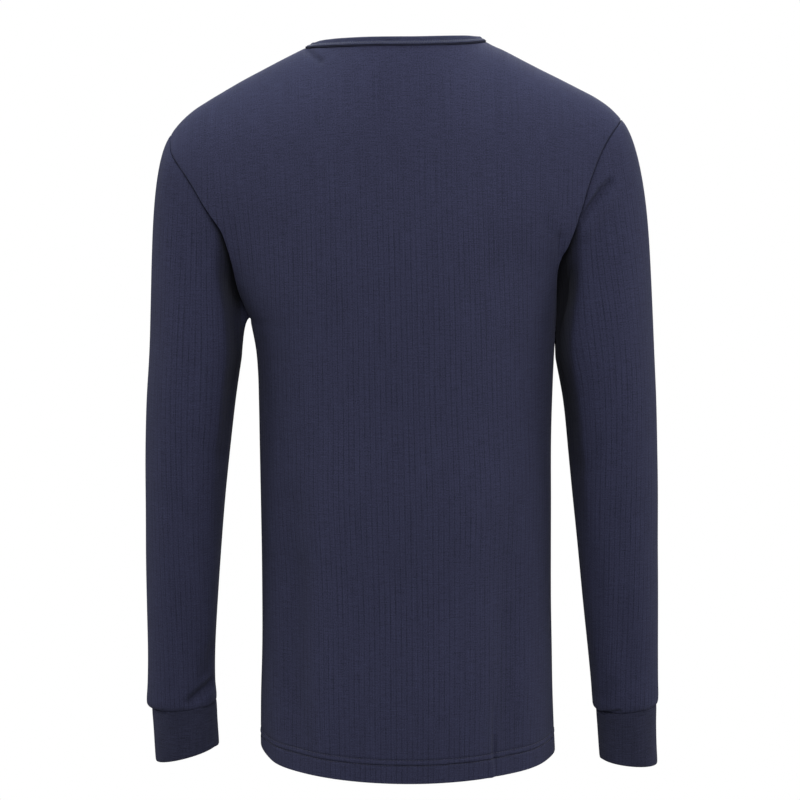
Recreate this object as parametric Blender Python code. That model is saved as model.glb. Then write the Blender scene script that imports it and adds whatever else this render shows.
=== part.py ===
"""Thermal top: a long-sleeved, crew-neck knit top that keeps the hollow form of its wearer.

One skin is worked out from the cut: two body panels that meet at the side and shoulder seams, two
sleeves that start on the armholes, their cuffs, and a binding round the neck. Each piece is that
skin given a wall on its inner side, and each seam is a narrow gap between two pieces.
+Z is up, the front faces -Y and the wearer's left arm is at +X. The origin is the middle of the
base of the neck, on the line of the shoulders.
"""

import math

import bmesh
import bpy
import numpy as np

# Driving dimensions, metres
WALL = 0.0016
CUFF_WALL = 0.0026
SEAM_GAP = 0.00040
CHEST_HEIGHT = -0.270
HEM_HEIGHT = -0.7168
HEM_DIP = 0.0042
HEM_DIP_POWER = 2.6
HEM_TOP = 0.0295
HEM_WALL = 0.0030

# The neckline: its middle and half width, its rise at the back and drop at the front
NECK_MIDDLE = 0.0055
NECK_HALF = 0.0915
NECK_RISE_BACK = 0.0014
NECK_DROP_FRONT = 0.082
NECK_FRONT_POWER = 0.92
BAND_HEIGHT = 0.0098
BAND_LEAN = 0.15

# How the body turns: squareness of a level section, and of the slope over the shoulders
SECTION_POWER = 2.1
SHOULDER_POWER = 2.7
ARMHOLE_BACK = 0.064
ARMHOLE_FRONT = 0.058
ARMHOLE_SCOOP = 0.010
ARMPIT_CLIMB = 0.50
ARMPIT_POWER = 0.75
FLATTEN_CLIMB = 0.35
COLUMN_DRIFT = 0.8
CAP_LEAVE = 0.50
CAP_ARRIVE = 0.95

# Mesh density: columns over a shoulder and a neckline, rows above the chest, rings of a sleeve
SHOULDER_COLUMNS = 7
NECK_COLUMNS = 22
YOKE_ROWS = 12
BODY_ROWS = 9
CAP_RINGS = 7
ARM_RINGS = 10
SLEEVE_END_RINGS = 3
PANEL_COLUMNS = 2 * SHOULDER_COLUMNS + NECK_COLUMNS
NECK_SHARE = NECK_COLUMNS / PANEL_COLUMNS
SPACING_STEPS = 400
SPACING_HALF_WIDTH = 0.150
SPACING_DEPTH = 0.113
EDGE_STEP = 0.03
CREASE_ANGLE = math.radians(50)

NAVY = (0.036, 0.040, 0.078, 1.0)
NAVY_RIB = (0.028, 0.031, 0.060, 1.0)
KNIT_ROUGHNESS = 0.92


def table(columns, rows):
    """A short table: one named column of numbers for each word in columns."""
    return dict(zip(columns.split(), np.array(rows, dtype=float).T))


# Reach of the side seams to the wearer's left and right, and depth of the middle back and front
TORSO = table("height left right back front", [
    (-0.7230, 0.1455, 0.1582, 0.1120, 0.1130),
    (-0.6970, 0.1454, 0.1567, 0.1105, 0.1130),
    (-0.6650, 0.1450, 0.1554, 0.1085, 0.1130),
    (-0.6120, 0.1436, 0.1539, 0.1050, 0.1125),
    (-0.5600, 0.1431, 0.1524, 0.1020, 0.1120),
    (-0.5080, 0.1428, 0.1519, 0.1000, 0.1110),
    (-0.4560, 0.1434, 0.1514, 0.0995, 0.1110),
    (-0.4040, 0.1440, 0.1511, 0.1015, 0.1130),
    (-0.3530, 0.1446, 0.1516, 0.1060, 0.1175),
    (-0.3230, 0.1453, 0.1522, 0.1090, 0.1200),
    (-0.3020, 0.1468, 0.1530, 0.1105, 0.1215),
    (-0.2700, 0.1522, 0.1548, 0.1125, 0.1225),
    (-0.2000, 0.1600, 0.1600, 0.1145, 0.1225),
    (-0.1000, 0.1700, 0.1700, 0.1130, 0.1190),
    (0.0200, 0.1700, 0.1700, 0.1080, 0.1150),
])

# Height of the shoulder line at a reach from the middle, to the left and to the right; inside the
# neckline it is the neck's own slope, which no cloth reaches
SHOULDER = table("reach left right", [
    (0.000, 0.0620, 0.0620),
    (0.030, 0.0520, 0.0520),
    (0.060, 0.0270, 0.0270),
    (0.075, 0.0130, 0.0130),
    (0.0875, 0.0035, 0.0035),
    (0.100, -0.0028, -0.0028),
    (0.119, -0.0124, -0.0124),
    (0.138, -0.0222, -0.0222),
    (0.158, -0.0326, -0.0321),
    (0.176, -0.0430, -0.0413),
    (0.194, -0.0538, -0.0509),
    (0.208, -0.0630, -0.0608),
    (0.2185, -0.0722, -0.0714),
    (0.2270, -0.0820, -0.0820),
    (0.2350, -0.0945, -0.0945),
])

# Reach of each armhole at a height, from the armpit to the shoulder point
ARMHOLE = {
    "left": table("height reach", [
        (-0.2700, 0.1518),
        (-0.2458, 0.1622),
        (-0.2221, 0.1682),
        (-0.2082, 0.1725),
        (-0.1946, 0.1780),
        (-0.1851, 0.1847),
        (-0.1692, 0.1955),
        (-0.1549, 0.2034),
        (-0.1391, 0.2123),
        (-0.1254, 0.2194),
        (-0.1043, 0.2280),
        (-0.0863, 0.2300),
    ]),
    "right": table("height reach", [
        (-0.2700, 0.1548),
        (-0.2445, 0.1535),
        (-0.2225, 0.1548),
        (-0.2072, 0.1626),
        (-0.1900, 0.1699),
        (-0.1713, 0.1766),
        (-0.1493, 0.1835),
        (-0.1156, 0.1965),
        (-0.0769, 0.2154),
        (-0.0724, 0.2190),
    ]),
}

# Outer and inner edge of each sleeve seen from behind, and where its middle lies and how deep it is
SLEEVE = {
    "left": table("outer_x outer_z inner_x inner_z middle_y depth", [
        (0.2545, -0.3130, 0.1622, -0.3130, -0.0031, 0.0550),
        (0.2570, -0.3540, 0.1684, -0.3540, -0.0042, 0.0525),
        (0.2603, -0.4060, 0.1749, -0.4060, -0.0073, 0.0495),
        (0.2616, -0.4580, 0.1807, -0.4580, -0.0108, 0.0465),
        (0.2628, -0.5110, 0.1857, -0.5110, -0.0161, 0.0440),
        (0.2631, -0.5650, 0.1899, -0.5650, -0.0217, 0.0415),
        (0.2635, -0.6200, 0.1937, -0.6180, -0.0279, 0.0390),
        (0.2646, -0.6530, 0.1946, -0.6500, -0.0315, 0.0380),
        (0.2660, -0.6720, 0.1936, -0.6660, -0.0335, 0.0375),
        (0.2650, -0.6780, 0.1936, -0.6720, -0.0342, 0.0355),
        (0.2599, -0.6811, 0.1945, -0.6750, -0.0347, 0.0320),
    ]),
    "right": table("outer_x outer_z inner_x inner_z middle_y depth", [
        (-0.2548, -0.3130, -0.1568, -0.3130, -0.0031, 0.0550),
        (-0.2572, -0.3540, -0.1630, -0.3540, -0.0042, 0.0525),
        (-0.2593, -0.4060, -0.1688, -0.4060, -0.0073, 0.0495),
        (-0.2614, -0.4580, -0.1746, -0.4580, -0.0108, 0.0465),
        (-0.2628, -0.5110, -0.1807, -0.5110, -0.0161, 0.0440),
        (-0.2641, -0.5650, -0.1868, -0.5650, -0.0217, 0.0415),
        (-0.2656, -0.6195, -0.1930, -0.6195, -0.0279, 0.0390),
        (-0.2665, -0.6500, -0.1967, -0.6530, -0.0315, 0.0380),
        (-0.2672, -0.6670, -0.1985, -0.6720, -0.0335, 0.0370),
        (-0.2668, -0.6745, -0.1997, -0.6795, -0.0342, 0.0350),
        (-0.2646, -0.6778, -0.2034, -0.6833, -0.0347, 0.0315),
    ]),
}

CUFF = {
    "left": table("outer_x outer_z inner_x inner_z middle_y depth", [
        (0.2599, -0.6811, 0.1945, -0.6750, -0.0347, 0.0320),
        (0.2606, -0.6840, 0.1935, -0.6775, -0.0351, 0.0318),
        (0.2597, -0.7050, 0.1928, -0.6950, -0.0370, 0.0300),
        (0.2590, -0.7280, 0.1919, -0.7130, -0.0388, 0.0285),
        (0.2584, -0.7410, 0.1915, -0.7245, -0.0399, 0.0275),
        (0.2576, -0.7433, 0.1923, -0.7268, -0.0401, 0.0265),
    ]),
    "right": table("outer_x outer_z inner_x inner_z middle_y depth", [
        (-0.2646, -0.6778, -0.2034, -0.6833, -0.0347, 0.0315),
        (-0.2655, -0.6805, -0.2030, -0.6858, -0.0351, 0.0313),
        (-0.2658, -0.7000, -0.2045, -0.7030, -0.0370, 0.0295),
        (-0.2668, -0.7220, -0.2060, -0.7220, -0.0388, 0.0280),
        (-0.2680, -0.7405, -0.2072, -0.7355, -0.0399, 0.0270),
        (-0.2673, -0.7428, -0.2080, -0.7378, -0.0401, 0.0260),
    ]),
}

# The turned hem: rise of a row above the bottom edge, and how far the skin stands out there.
# Two rows of stitches draw the cloth in, and a soft ridge stands between them.
HEM = table("rise out", [
    (0.0000, 0.0),
    (0.0090, 0.0),
    (0.0185, -0.0004),
    (0.0215, 0.0004),
    (0.0245, -0.0004),
])

# The section of the neck binding: its rise, as a share of its height, and how far it stands out
# from the skin of the panels, up its outer leaf, over the fold and down its inner leaf
BAND_SECTION = table("rise out", [
    (0.00, 0.00055),
    (0.22, 0.00100),
    (0.55, 0.00090),
    (0.84, 0.00045),
    (0.97, -0.00060),
    (1.00, -0.00140),
    (0.94, -0.00230),
    (0.60, -0.00255),
    (0.00, -0.00235),
])

SIDE_SIGN = {"left": 1.0, "right": -1.0}
FACE_SIGN = {"back": 1.0, "front": -1.0}


def smooth(rows, column, at, by="height"):
    """Value of a column at a place of another, on a smooth curve through the table's rows."""
    xs = rows[by]
    ys = rows[column]
    slopes = np.gradient(ys, xs)
    at = min(max(at, xs[0]), xs[-1])
    i = min(int(np.searchsorted(xs, at, side="right")) - 1, len(xs) - 2)
    width = xs[i + 1] - xs[i]
    t = (at - xs[i]) / width
    rise = ys[i] * (2 * t ** 3 - 3 * t ** 2 + 1) + ys[i + 1] * (3 * t ** 2 - 2 * t ** 3)
    bend = slopes[i] * (t ** 3 - 2 * t ** 2 + t) + slopes[i + 1] * (t ** 3 - t ** 2)
    return rise + width * bend


def unit(vector):
    return vector / max(np.linalg.norm(vector), 1e-9)


def arc_spacing(half_width, depth):
    """Share of the half width reached at each share of the way round a level half section."""
    angle = np.linspace(math.pi / 2, 0.0, SPACING_STEPS)
    x = half_width * np.sin(math.pi / 2 - angle)
    y = depth * (1 - (x / half_width) ** SECTION_POWER) ** 0.5
    steps = np.hypot(np.diff(x), np.diff(y))
    way = np.concatenate([[0.0], np.cumsum(steps)])
    return way / way[-1], x / half_width


WAY_ROUND, REACH_ROUND = arc_spacing(SPACING_HALF_WIDTH, SPACING_DEPTH)


def reach_share(u):
    """Share of the half width, with its sign, at column place u from -1 (right) to 1 (left)."""
    return math.copysign(np.interp(abs(u), WAY_ROUND, REACH_ROUND), u)


def between(edges, share):
    """Reach from the middle at a share, -1 (right edge) to 1 (left edge), of the way across."""
    return (edges["left"] - edges["right"]) / 2 + share * (edges["left"] + edges["right"]) / 2


def body_point(face, u, height):
    """Point of a body panel at or below the chest."""
    share = reach_share(u)
    edges = {side: smooth(TORSO, side, height) for side in SIDE_SIGN}
    fullness = 1 - abs(share) ** SECTION_POWER
    depth = smooth(TORSO, face, height) * fullness ** 0.5
    dip = 0.0
    if face == "back":
        below = (height - CHEST_HEIGHT) / (HEM_HEIGHT - CHEST_HEIGHT)
        dip = HEM_DIP * fullness ** HEM_DIP_POWER * below
    return np.array([between(edges, share), FACE_SIGN[face] * depth, height - dip])


def shoulder_height(x):
    return smooth(SHOULDER, "left" if x >= 0 else "right", abs(x), by="reach")


def fall_share(x, height):
    """Share of the way down from the shoulder line to the chest, at a reach from the middle."""
    ridge = shoulder_height(x)
    return (ridge - height) / (ridge - CHEST_HEIGHT)


def yoke_depth(face, x, height, share, climb):
    """Depth of the skin above the chest; climb is 0 at the chest and 1 at the armhole's top."""
    arm_depth = ARMHOLE_BACK if face == "back" else ARMHOLE_FRONT
    arm_depth *= math.sin(min(climb / ARMPIT_CLIMB, 1.0) * math.pi / 2) ** ARMPIT_POWER
    power = 0.5 + 0.5 * min(climb / FLATTEN_CLIMB, 1.0)
    middle = smooth(TORSO, face, height)
    full = arm_depth + (middle - arm_depth) * (1 - min(abs(share), 1.0) ** SECTION_POWER) ** power
    above = min(max(1 - fall_share(x, height), 0.0), 1.0)
    turn = math.sqrt(1 - above ** SHOULDER_POWER)
    return FACE_SIGN[face] * full * turn


def neckline_place(face, turn):
    """Reach and height of the neckline at a turn, -90 to 90 degrees from right to left."""
    right = shoulder_height(NECK_MIDDLE - NECK_HALF)
    left = shoulder_height(NECK_MIDDLE + NECK_HALF)
    level = right + (left - right) * (math.sin(turn) + 1) / 2
    if face == "back":
        level += NECK_RISE_BACK * math.cos(turn)
    else:
        level -= NECK_DROP_FRONT * math.cos(turn) ** NECK_FRONT_POWER
    return NECK_MIDDLE + NECK_HALF * math.sin(turn), level


def top_share(x):
    """Share of the way across at which the top of a panel has a reach."""
    ends = {side: rows["reach"][-1] for side, rows in ARMHOLE.items()}
    return (x - between(ends, 0.0)) / (between(ends, 1.0) - between(ends, 0.0))


def neckline_spacing(face):
    """Turns of the neckline, and the share of its length that each one reaches."""
    turns = np.linspace(-math.pi / 2, math.pi / 2, SPACING_STEPS)
    points = []
    for turn in turns:
        x, height = neckline_place(face, turn)
        points.append((x, yoke_depth(face, x, height, top_share(x), 1.0), height))
    steps = np.linalg.norm(np.diff(points, axis=0), axis=1)
    way = np.concatenate([[0.0], np.cumsum(steps)])
    return way / way[-1], turns


NECKLINE = {face: neckline_spacing(face) for face in FACE_SIGN}


def top_place(face, u):
    """Reach and height of a panel's top edge: shoulder seam, neckline, shoulder seam."""
    if abs(u) <= NECK_SHARE:
        return neckline_place(face, np.interp((u / NECK_SHARE + 1) / 2, *NECKLINE[face]))
    side = "left" if u >= 0 else "right"
    neck_reach = NECK_HALF + SIDE_SIGN[side] * NECK_MIDDLE
    along = (abs(u) - NECK_SHARE) / (1 - NECK_SHARE)
    x = SIDE_SIGN[side] * (neck_reach + along * (ARMHOLE[side]["reach"][-1] - neck_reach))
    return x, shoulder_height(x)


def yoke_point(face, u, place):
    """Point of a panel above the chest; place is 0 at the chest and 1 at the top edge."""
    climb = math.sin(place * math.pi / 2)
    top_x, top_height = top_place(face, u)
    drift = 1 - (1 - place) ** COLUMN_DRIFT
    share = reach_share(u) + (top_share(top_x) - reach_share(u)) * drift
    edges = {}
    for side, rows in ARMHOLE.items():
        edge_height = CHEST_HEIGHT + (rows["height"][-1] - CHEST_HEIGHT) * climb
        edges[side] = smooth(rows, "reach", edge_height)
        if face == "front":
            edges[side] -= ARMHOLE_SCOOP * math.sin(math.pi * climb) ** 2
    x = between(edges, share)
    fall = 1 - (1 - fall_share(top_x, top_height)) * climb
    height = shoulder_height(x) - fall * (shoulder_height(x) - CHEST_HEIGHT)
    return np.array([x, yoke_depth(face, x, height, share, climb), height])


def panel_point(face, u, place):
    """Point of a panel; place is a height up to the chest, then 0 to 1 from chest to top edge."""
    if place < 0:
        return body_point(face, u, place)
    return yoke_point(face, u, place)


def armhole_point(side, around):
    """Point of an armhole; around runs 0 (armpit), 1 (shoulder, up the back), 2 (armpit again)."""
    face = "back" if around <= 1 else "front"
    return panel_point(face, SIDE_SIGN[side], min(around, 2 - around))


def armhole_outward(side, around):
    """Direction in which the cloth leaves the body across the armhole seam."""
    place = min(around, 2 - around)
    if place in (0.0, 1.0):
        faces = ("back", "front")
    else:
        faces = ("back",) if around < 1 else ("front",)
    total = np.zeros(3)
    for face in faces:
        edge = panel_point(face, SIDE_SIGN[side], place)
        inside = panel_point(face, SIDE_SIGN[side] * (1 - EDGE_STEP), place)
        total += unit(edge - inside)
    return unit(total)


def tube_point(rows, ring, around):
    """Point of an arm tube; ring counts along the table's rows, around as for the armhole."""
    index = np.arange(len(rows["depth"]), dtype=float)
    by_ring = dict(rows, ring=index)
    values = {name: smooth(by_ring, name, ring, by="ring") for name in rows}
    outer = np.array([values["outer_x"], values["middle_y"], values["outer_z"]])
    inner = np.array([values["inner_x"], values["middle_y"], values["inner_z"]])
    angle = math.pi * (1 - around)
    across = (outer - inner) / 2 * math.cos(angle)
    through = np.array([0.0, values["depth"] * math.sin(angle), 0.0])
    return (outer + inner) / 2 + across + through


def sleeve_point(side, around, along):
    """Point of a sleeve; along is 0 to 1 from the armhole to the upper arm, then counts rows."""
    rows = SLEEVE[side]
    if along >= 1:
        return tube_point(rows, along - 1, around)
    start = armhole_point(side, around)
    end = tube_point(rows, 0.0, around)
    span = np.linalg.norm(end - start)
    leave = armhole_outward(side, around) * span * CAP_LEAVE
    arrive = unit(tube_point(rows, 0.5, around) - end) * span * CAP_ARRIVE
    t = along
    return (start * (2 * t ** 3 - 3 * t ** 2 + 1) + end * (3 * t ** 2 - 2 * t ** 3)
            + leave * (t ** 3 - 2 * t ** 2 + t) + arrive * (t ** 3 - t ** 2))


# ---- Grids of the skin: rows run upward on panels and downward on tubes ----

def panel_rows():
    """Rows of a panel, each with its place, stand-out and wall: hem, body, yoke above the chest."""
    hem = [(HEM_HEIGHT + rise, out, HEM_WALL) for rise, out in zip(HEM["rise"], HEM["out"])]
    body = np.linspace(HEM_HEIGHT + HEM_TOP, CHEST_HEIGHT, BODY_ROWS + 1)[:-1]
    yoke = np.linspace(0.0, 1.0, YOKE_ROWS + 1)
    return hem + [(place, 0.0, WALL) for place in [*body, *yoke]]


def panel_grid(face):
    """Skin of a body panel, each row from the wearer's left edge to the right one."""
    columns = np.linspace(1.0, -1.0, PANEL_COLUMNS + 1)
    return np.array([[panel_point(face, u, row[0]) for u in columns] for row in panel_rows()])


def ways_round():
    """Places round an arm tube that meet the rows of the body panels at the armhole."""
    return np.linspace(0.0, 2.0, 2 * YOKE_ROWS + 1)[:-1]


def sleeve_grid(side):
    """Skin of a sleeve: the cap, the arm, and one ring for each of the last rows, at the cuff."""
    last = len(SLEEVE[side]["depth"])
    cap = np.linspace(0.0, 1.0, CAP_RINGS + 1)[:-1]
    arm = np.linspace(1.0, last - SLEEVE_END_RINGS, ARM_RINGS)
    end = np.arange(last - SLEEVE_END_RINGS + 1.0, last + 1.0)
    rings = np.concatenate([cap, arm, end])
    return np.array([[sleeve_point(side, a, ring) for a in ways_round()] for ring in rings])


def cuff_grid(side):
    """Skin of a cuff, one ring for each row of its table."""
    rings = np.arange(len(CUFF[side]["depth"]), dtype=float)
    return np.array([[tube_point(CUFF[side], ring, a) for a in ways_round()] for ring in rings])


# ---- Walls ----

def grid_normals(grid, closed):
    """Sum of the unit normals of the faces round each point of a grid."""
    rows, columns = grid.shape[:2]
    total = np.zeros_like(grid)
    spans = columns if closed else columns - 1
    for r in range(rows - 1):
        for c in range(spans):
            d = (c + 1) % columns
            corners = [(r, c), (r, d), (r + 1, d), (r + 1, c)]
            a, b, e, f = (grid[p] for p in corners)
            normal = unit(np.cross(e - a, f - b))
            for p in corners:
                total[p] += normal
    return total


def shared_normals(grids):
    """Unit normals of all grids, the same on both sides of every seam."""
    sums = {}
    raw = {}
    for name, (grid, closed, outward) in grids.items():
        raw[name] = grid_normals(grid, closed) * outward
        for point, normal in zip(grid.reshape(-1, 3), raw[name].reshape(-1, 3)):
            key = tuple(np.round(point, 5))
            sums[key] = sums.get(key, 0) + normal
    result = {}
    for name, (grid, _, _) in grids.items():
        flat = [unit(sums[tuple(np.round(point, 5))]) for point in grid.reshape(-1, 3)]
        result[name] = np.array(flat).reshape(grid.shape)
    return result


def edge_pull(line, inner_line, normals, closed):
    """Half a seam gap for each point of an open edge, square to the edge and on the surface."""
    if closed:
        along = np.roll(line, -1, axis=0) - np.roll(line, 1, axis=0)
    else:
        along = np.gradient(line, axis=0)
    square = np.cross(normals, along)
    square /= np.maximum(np.linalg.norm(square, axis=1, keepdims=True), 1e-9)
    facing = np.sign(np.sum(square * (inner_line - line)))
    return square * facing * SEAM_GAP / 2


def pull_in(grid, normals, closed):
    """Draws a grid's open edges in by half the seam gap."""
    moved = grid.copy()
    for edge, inner in ((0, 1), (-1, -2)):
        moved[edge] += edge_pull(grid[edge], grid[inner], normals[edge], closed)
        if not closed:
            moved[:, edge] += edge_pull(grid[:, edge], grid[:, inner], normals[:, edge], False)
    return moved


def wall_body(outer, inner, closed, flip):
    """Vertices and faces of a closed body between an outer and an inner grid."""
    rows, columns = outer.shape[:2]
    count = rows * columns
    vertices = [tuple(p) for p in outer.reshape(-1, 3)] + [tuple(p) for p in inner.reshape(-1, 3)]
    faces = []
    spans = columns if closed else columns - 1
    for r in range(rows - 1):
        for c in range(spans):
            d = (c + 1) % columns
            quad = [r * columns + c, r * columns + d, (r + 1) * columns + d, (r + 1) * columns + c]
            faces.append(quad)
            faces.append([count + i for i in reversed(quad)])
    for r, turned in ((0, False), (rows - 1, True)):
        for c in range(spans):
            d = (c + 1) % columns
            quad = [count + r * columns + c, count + r * columns + d,
                    r * columns + d, r * columns + c]
            faces.append(quad[::-1] if turned else quad)
    if not closed:
        for c, turned in ((0, True), (columns - 1, False)):
            for r in range(rows - 1):
                quad = [count + r * columns + c, count + (r + 1) * columns + c,
                        (r + 1) * columns + c, r * columns + c]
                faces.append(quad[::-1] if turned else quad)
    if flip:
        faces = [face[::-1] for face in faces]
    return vertices, faces


def knit_material(name, colour):
    material = bpy.data.materials.new(name)
    material.use_nodes = True
    shader = material.node_tree.nodes["Principled BSDF"]
    shader.inputs["Base Color"].default_value = colour
    shader.inputs["Roughness"].default_value = KNIT_ROUGHNESS
    shader.inputs["Metallic"].default_value = 0.0
    return material


def add_piece(name, vertices, faces, colour):
    """Adds one closed piece as an object with its own knit material, shaded smooth."""
    mesh = bpy.data.meshes.new(name)
    mesh.from_pydata(vertices, [], faces)
    shape = bmesh.new()
    shape.from_mesh(mesh)
    bmesh.ops.triangulate(shape, faces=shape.faces, quad_method="SHORT_EDGE")
    shape.to_mesh(mesh)
    shape.free()
    mesh.shade_smooth()
    mesh.set_sharp_from_angle(angle=CREASE_ANGLE)
    mesh.materials.append(knit_material(f"{name}_knit", colour))
    bpy.context.scene.collection.objects.link(bpy.data.objects.new(name, mesh))


def add_panel(face, grid, normals):
    """A body panel: the hem's relief is in the outer skin only, over a plain inside."""
    skin = pull_in(grid, normals, closed=False)
    outs = np.array([out for _, out, _ in panel_rows()])[:, None, None]
    walls = np.array([wall for _, _, wall in panel_rows()])[:, None, None]
    body = wall_body(skin + normals * outs, skin - normals * walls, False, face == "front")
    add_piece(face, *body, NAVY)


def add_tube(name, grid, normals, wall, side, colour):
    """A sleeve or a cuff: a tube of cloth, open at both ends."""
    skin = pull_in(grid, normals, closed=True)
    add_piece(name, *wall_body(skin, skin - normals * wall, True, side == "right"), colour)


# ---- Neck binding ----

def neck_ring(grids, normals):
    """Neckline points all round, from the left shoulder over the back, with their skin normals."""
    first = SHOULDER_COLUMNS
    last = SHOULDER_COLUMNS + NECK_COLUMNS
    back = slice(first, last + 1)
    front = slice(last - 1, first, -1)
    points = np.concatenate([grids["back"][0][-1, back], grids["front"][0][-1, front]])
    outs = np.concatenate([normals["back"][-1, back], normals["front"][-1, front]])
    return points, outs


def row_units(vectors):
    return vectors / np.maximum(np.linalg.norm(vectors, axis=1, keepdims=True), 1e-9)


def add_neck_band(grids, normals):
    """The binding leaves the neckline in line with the panels, and turns upward as it rises."""
    points, outs = neck_ring(grids, normals)
    count = len(points)
    alongs = row_units(np.roll(points, -1, axis=0) - np.roll(points, 1, axis=0))
    leaves = row_units(np.cross(outs, alongs))
    inward = (np.array([NECK_MIDDLE, 0.0, 0.0]) - points) * np.array([1.0, 1.0, 0.0])
    leaves *= np.sign(np.sum(leaves * inward, axis=1, keepdims=True))
    edges = np.cross(outs, leaves)
    stands = row_units(leaves + np.array([0.0, 0.0, BAND_LEAN]))
    seat = points + leaves * SEAM_GAP / 2
    vertices = []
    for share, out in zip(BAND_SECTION["rise"], BAND_SECTION["out"]):
        toward = row_units(leaves * (1 - share) + stands * share)
        square = row_units(np.cross(toward, edges))
        square *= np.sign(np.sum(square * outs, axis=1, keepdims=True))
        vertices += [tuple(v) for v in seat + toward * share * BAND_HEIGHT + square * out]
    loops = len(BAND_SECTION["rise"])
    faces = []
    for k in range(loops):
        m = (k + 1) % loops
        for i in range(count):
            j = (i + 1) % count
            faces.append([k * count + i, k * count + j, m * count + j, m * count + i])
    add_piece("neck_band", vertices, faces, NAVY_RIB)


def clear_scene():
    for old in list(bpy.data.objects):
        bpy.data.objects.remove(old, do_unlink=True)


def main():
    clear_scene()
    grids = {face: (panel_grid(face), False, FACE_SIGN[face]) for face in FACE_SIGN}
    for side, sign in SIDE_SIGN.items():
        grids[f"sleeve_{side}"] = (sleeve_grid(side), True, sign)
        grids[f"cuff_{side}"] = (cuff_grid(side), True, sign)
    normals = shared_normals(grids)
    for face in FACE_SIGN:
        add_panel(face, grids[face][0], normals[face])
    for side in SIDE_SIGN:
        for part, wall, colour in (("sleeve", WALL, NAVY), ("cuff", CUFF_WALL, NAVY_RIB)):
            name = f"{part}_{side}"
            add_tube(name, grids[name][0], normals[name], wall, side, colour)
    add_neck_band(grids, normals)


main()
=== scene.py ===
# %% [markdown]
# # A long-sleeved thermal top
# A thermal top is cut from a fine knit with dropped needles: after every few columns of loops one
# needle is left out, and a thin dark line runs down the cloth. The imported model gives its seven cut
# pieces as plain walls. This lesson makes each one again as real cloth: a thin shell on the same
# form, with rolled seams, a turned hem, threads, soft creases and a knitted surface.
# The frame is loaded first. Nothing in it moves, and every new piece is made where its wall is.

# %% Load the frame
import math

import bpy
import numpy as np
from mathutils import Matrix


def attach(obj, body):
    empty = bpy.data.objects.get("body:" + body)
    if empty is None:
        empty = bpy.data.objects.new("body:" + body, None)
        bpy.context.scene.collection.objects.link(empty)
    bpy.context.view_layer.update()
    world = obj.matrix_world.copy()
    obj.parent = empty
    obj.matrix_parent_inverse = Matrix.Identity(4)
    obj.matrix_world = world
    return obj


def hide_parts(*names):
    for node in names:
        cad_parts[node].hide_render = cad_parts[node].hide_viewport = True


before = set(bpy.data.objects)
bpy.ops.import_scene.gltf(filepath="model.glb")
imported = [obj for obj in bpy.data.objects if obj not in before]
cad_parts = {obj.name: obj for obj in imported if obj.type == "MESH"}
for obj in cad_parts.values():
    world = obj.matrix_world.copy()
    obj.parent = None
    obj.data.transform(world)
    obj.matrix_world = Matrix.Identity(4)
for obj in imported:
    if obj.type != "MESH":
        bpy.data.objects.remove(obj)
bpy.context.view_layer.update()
print("frame:", sorted(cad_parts))

# %% [markdown]
# ## Camera, floor and light
# The top is seen from behind, from a little above its middle, through a long lens that keeps its
# sides straight. It hangs in the air as if worn, so the floor lies well below it. Floor and
# backdrop are the same plain white. Five large soft lights stand round the top: the key light is
# above the camera, one overhead brings out the shoulders, one on each side draws the edges of the
# sleeves, and one lights the front, so that no side is left dark.

# %% Camera
CAMERA_PLACE = (0.002, 2.5, 0.016)
CAMERA_PITCH = math.radians(8.4)
LENS = 112.5

bpy.ops.object.camera_add(location=CAMERA_PLACE, rotation=(math.pi / 2 - CAMERA_PITCH, 0, math.pi))
camera = bpy.context.object
camera.name = "studio_camera"
camera.data.lens = LENS
bpy.context.scene.camera = camera
print("camera looks down by", round(math.degrees(CAMERA_PITCH), 1), "degrees")


# %% Node helpers
def fill(tree, node, inputs):
    """Fills a node's inputs: one given a socket is linked to it, and any other gets the value."""
    for name, value in inputs.items():
        if isinstance(value, bpy.types.NodeSocket):
            tree.links.new(value, node.inputs[name])
        else:
            node.inputs[name].default_value = value


def put(tree, kind, inputs=None, **settings):
    """Adds a node with its settings, and fills its inputs."""
    made = tree.nodes.new(kind)
    for name, value in settings.items():
        setattr(made, name, value)
    fill(tree, made, inputs or {})
    return made


def calc(tree, operation, *values):
    """A Math node's result from sockets and numbers."""
    return put(tree, "ShaderNodeMath", dict(enumerate(values)), operation=operation).outputs[0]


# %% Floor and backdrop
FLOOR_SIZE = 80.0
FLOOR_HEIGHT = -1.6
STUDIO_WHITE = (1.0, 1.0, 1.0, 1.0)
FLOOR_BOUNCE = (0.25, 0.25, 0.25, 1.0)
ROOM_LIGHT = 0.16

bpy.ops.object.select_all(action="DESELECT")
bpy.ops.mesh.primitive_plane_add(size=FLOOR_SIZE, location=(0, 0, FLOOR_HEIGHT))
floor = bpy.context.object
floor.name = "studio_floor"

floor_white = bpy.data.materials.new("floor_white")
floor_white.use_nodes = True
tree = floor_white.node_tree
tree.nodes.clear()
path = put(tree, "ShaderNodeLightPath")
matt = put(tree, "ShaderNodeBsdfDiffuse", {"Color": FLOOR_BOUNCE})
bright = put(tree, "ShaderNodeEmission", {"Color": STUDIO_WHITE, "Strength": 1.0})
either = put(tree, "ShaderNodeMixShader",
             {0: path.outputs["Is Camera Ray"], 1: matt.outputs[0], 2: bright.outputs[0]})
put(tree, "ShaderNodeOutputMaterial", {"Surface": either.outputs[0]})
floor.data.materials.append(floor_white)

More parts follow.
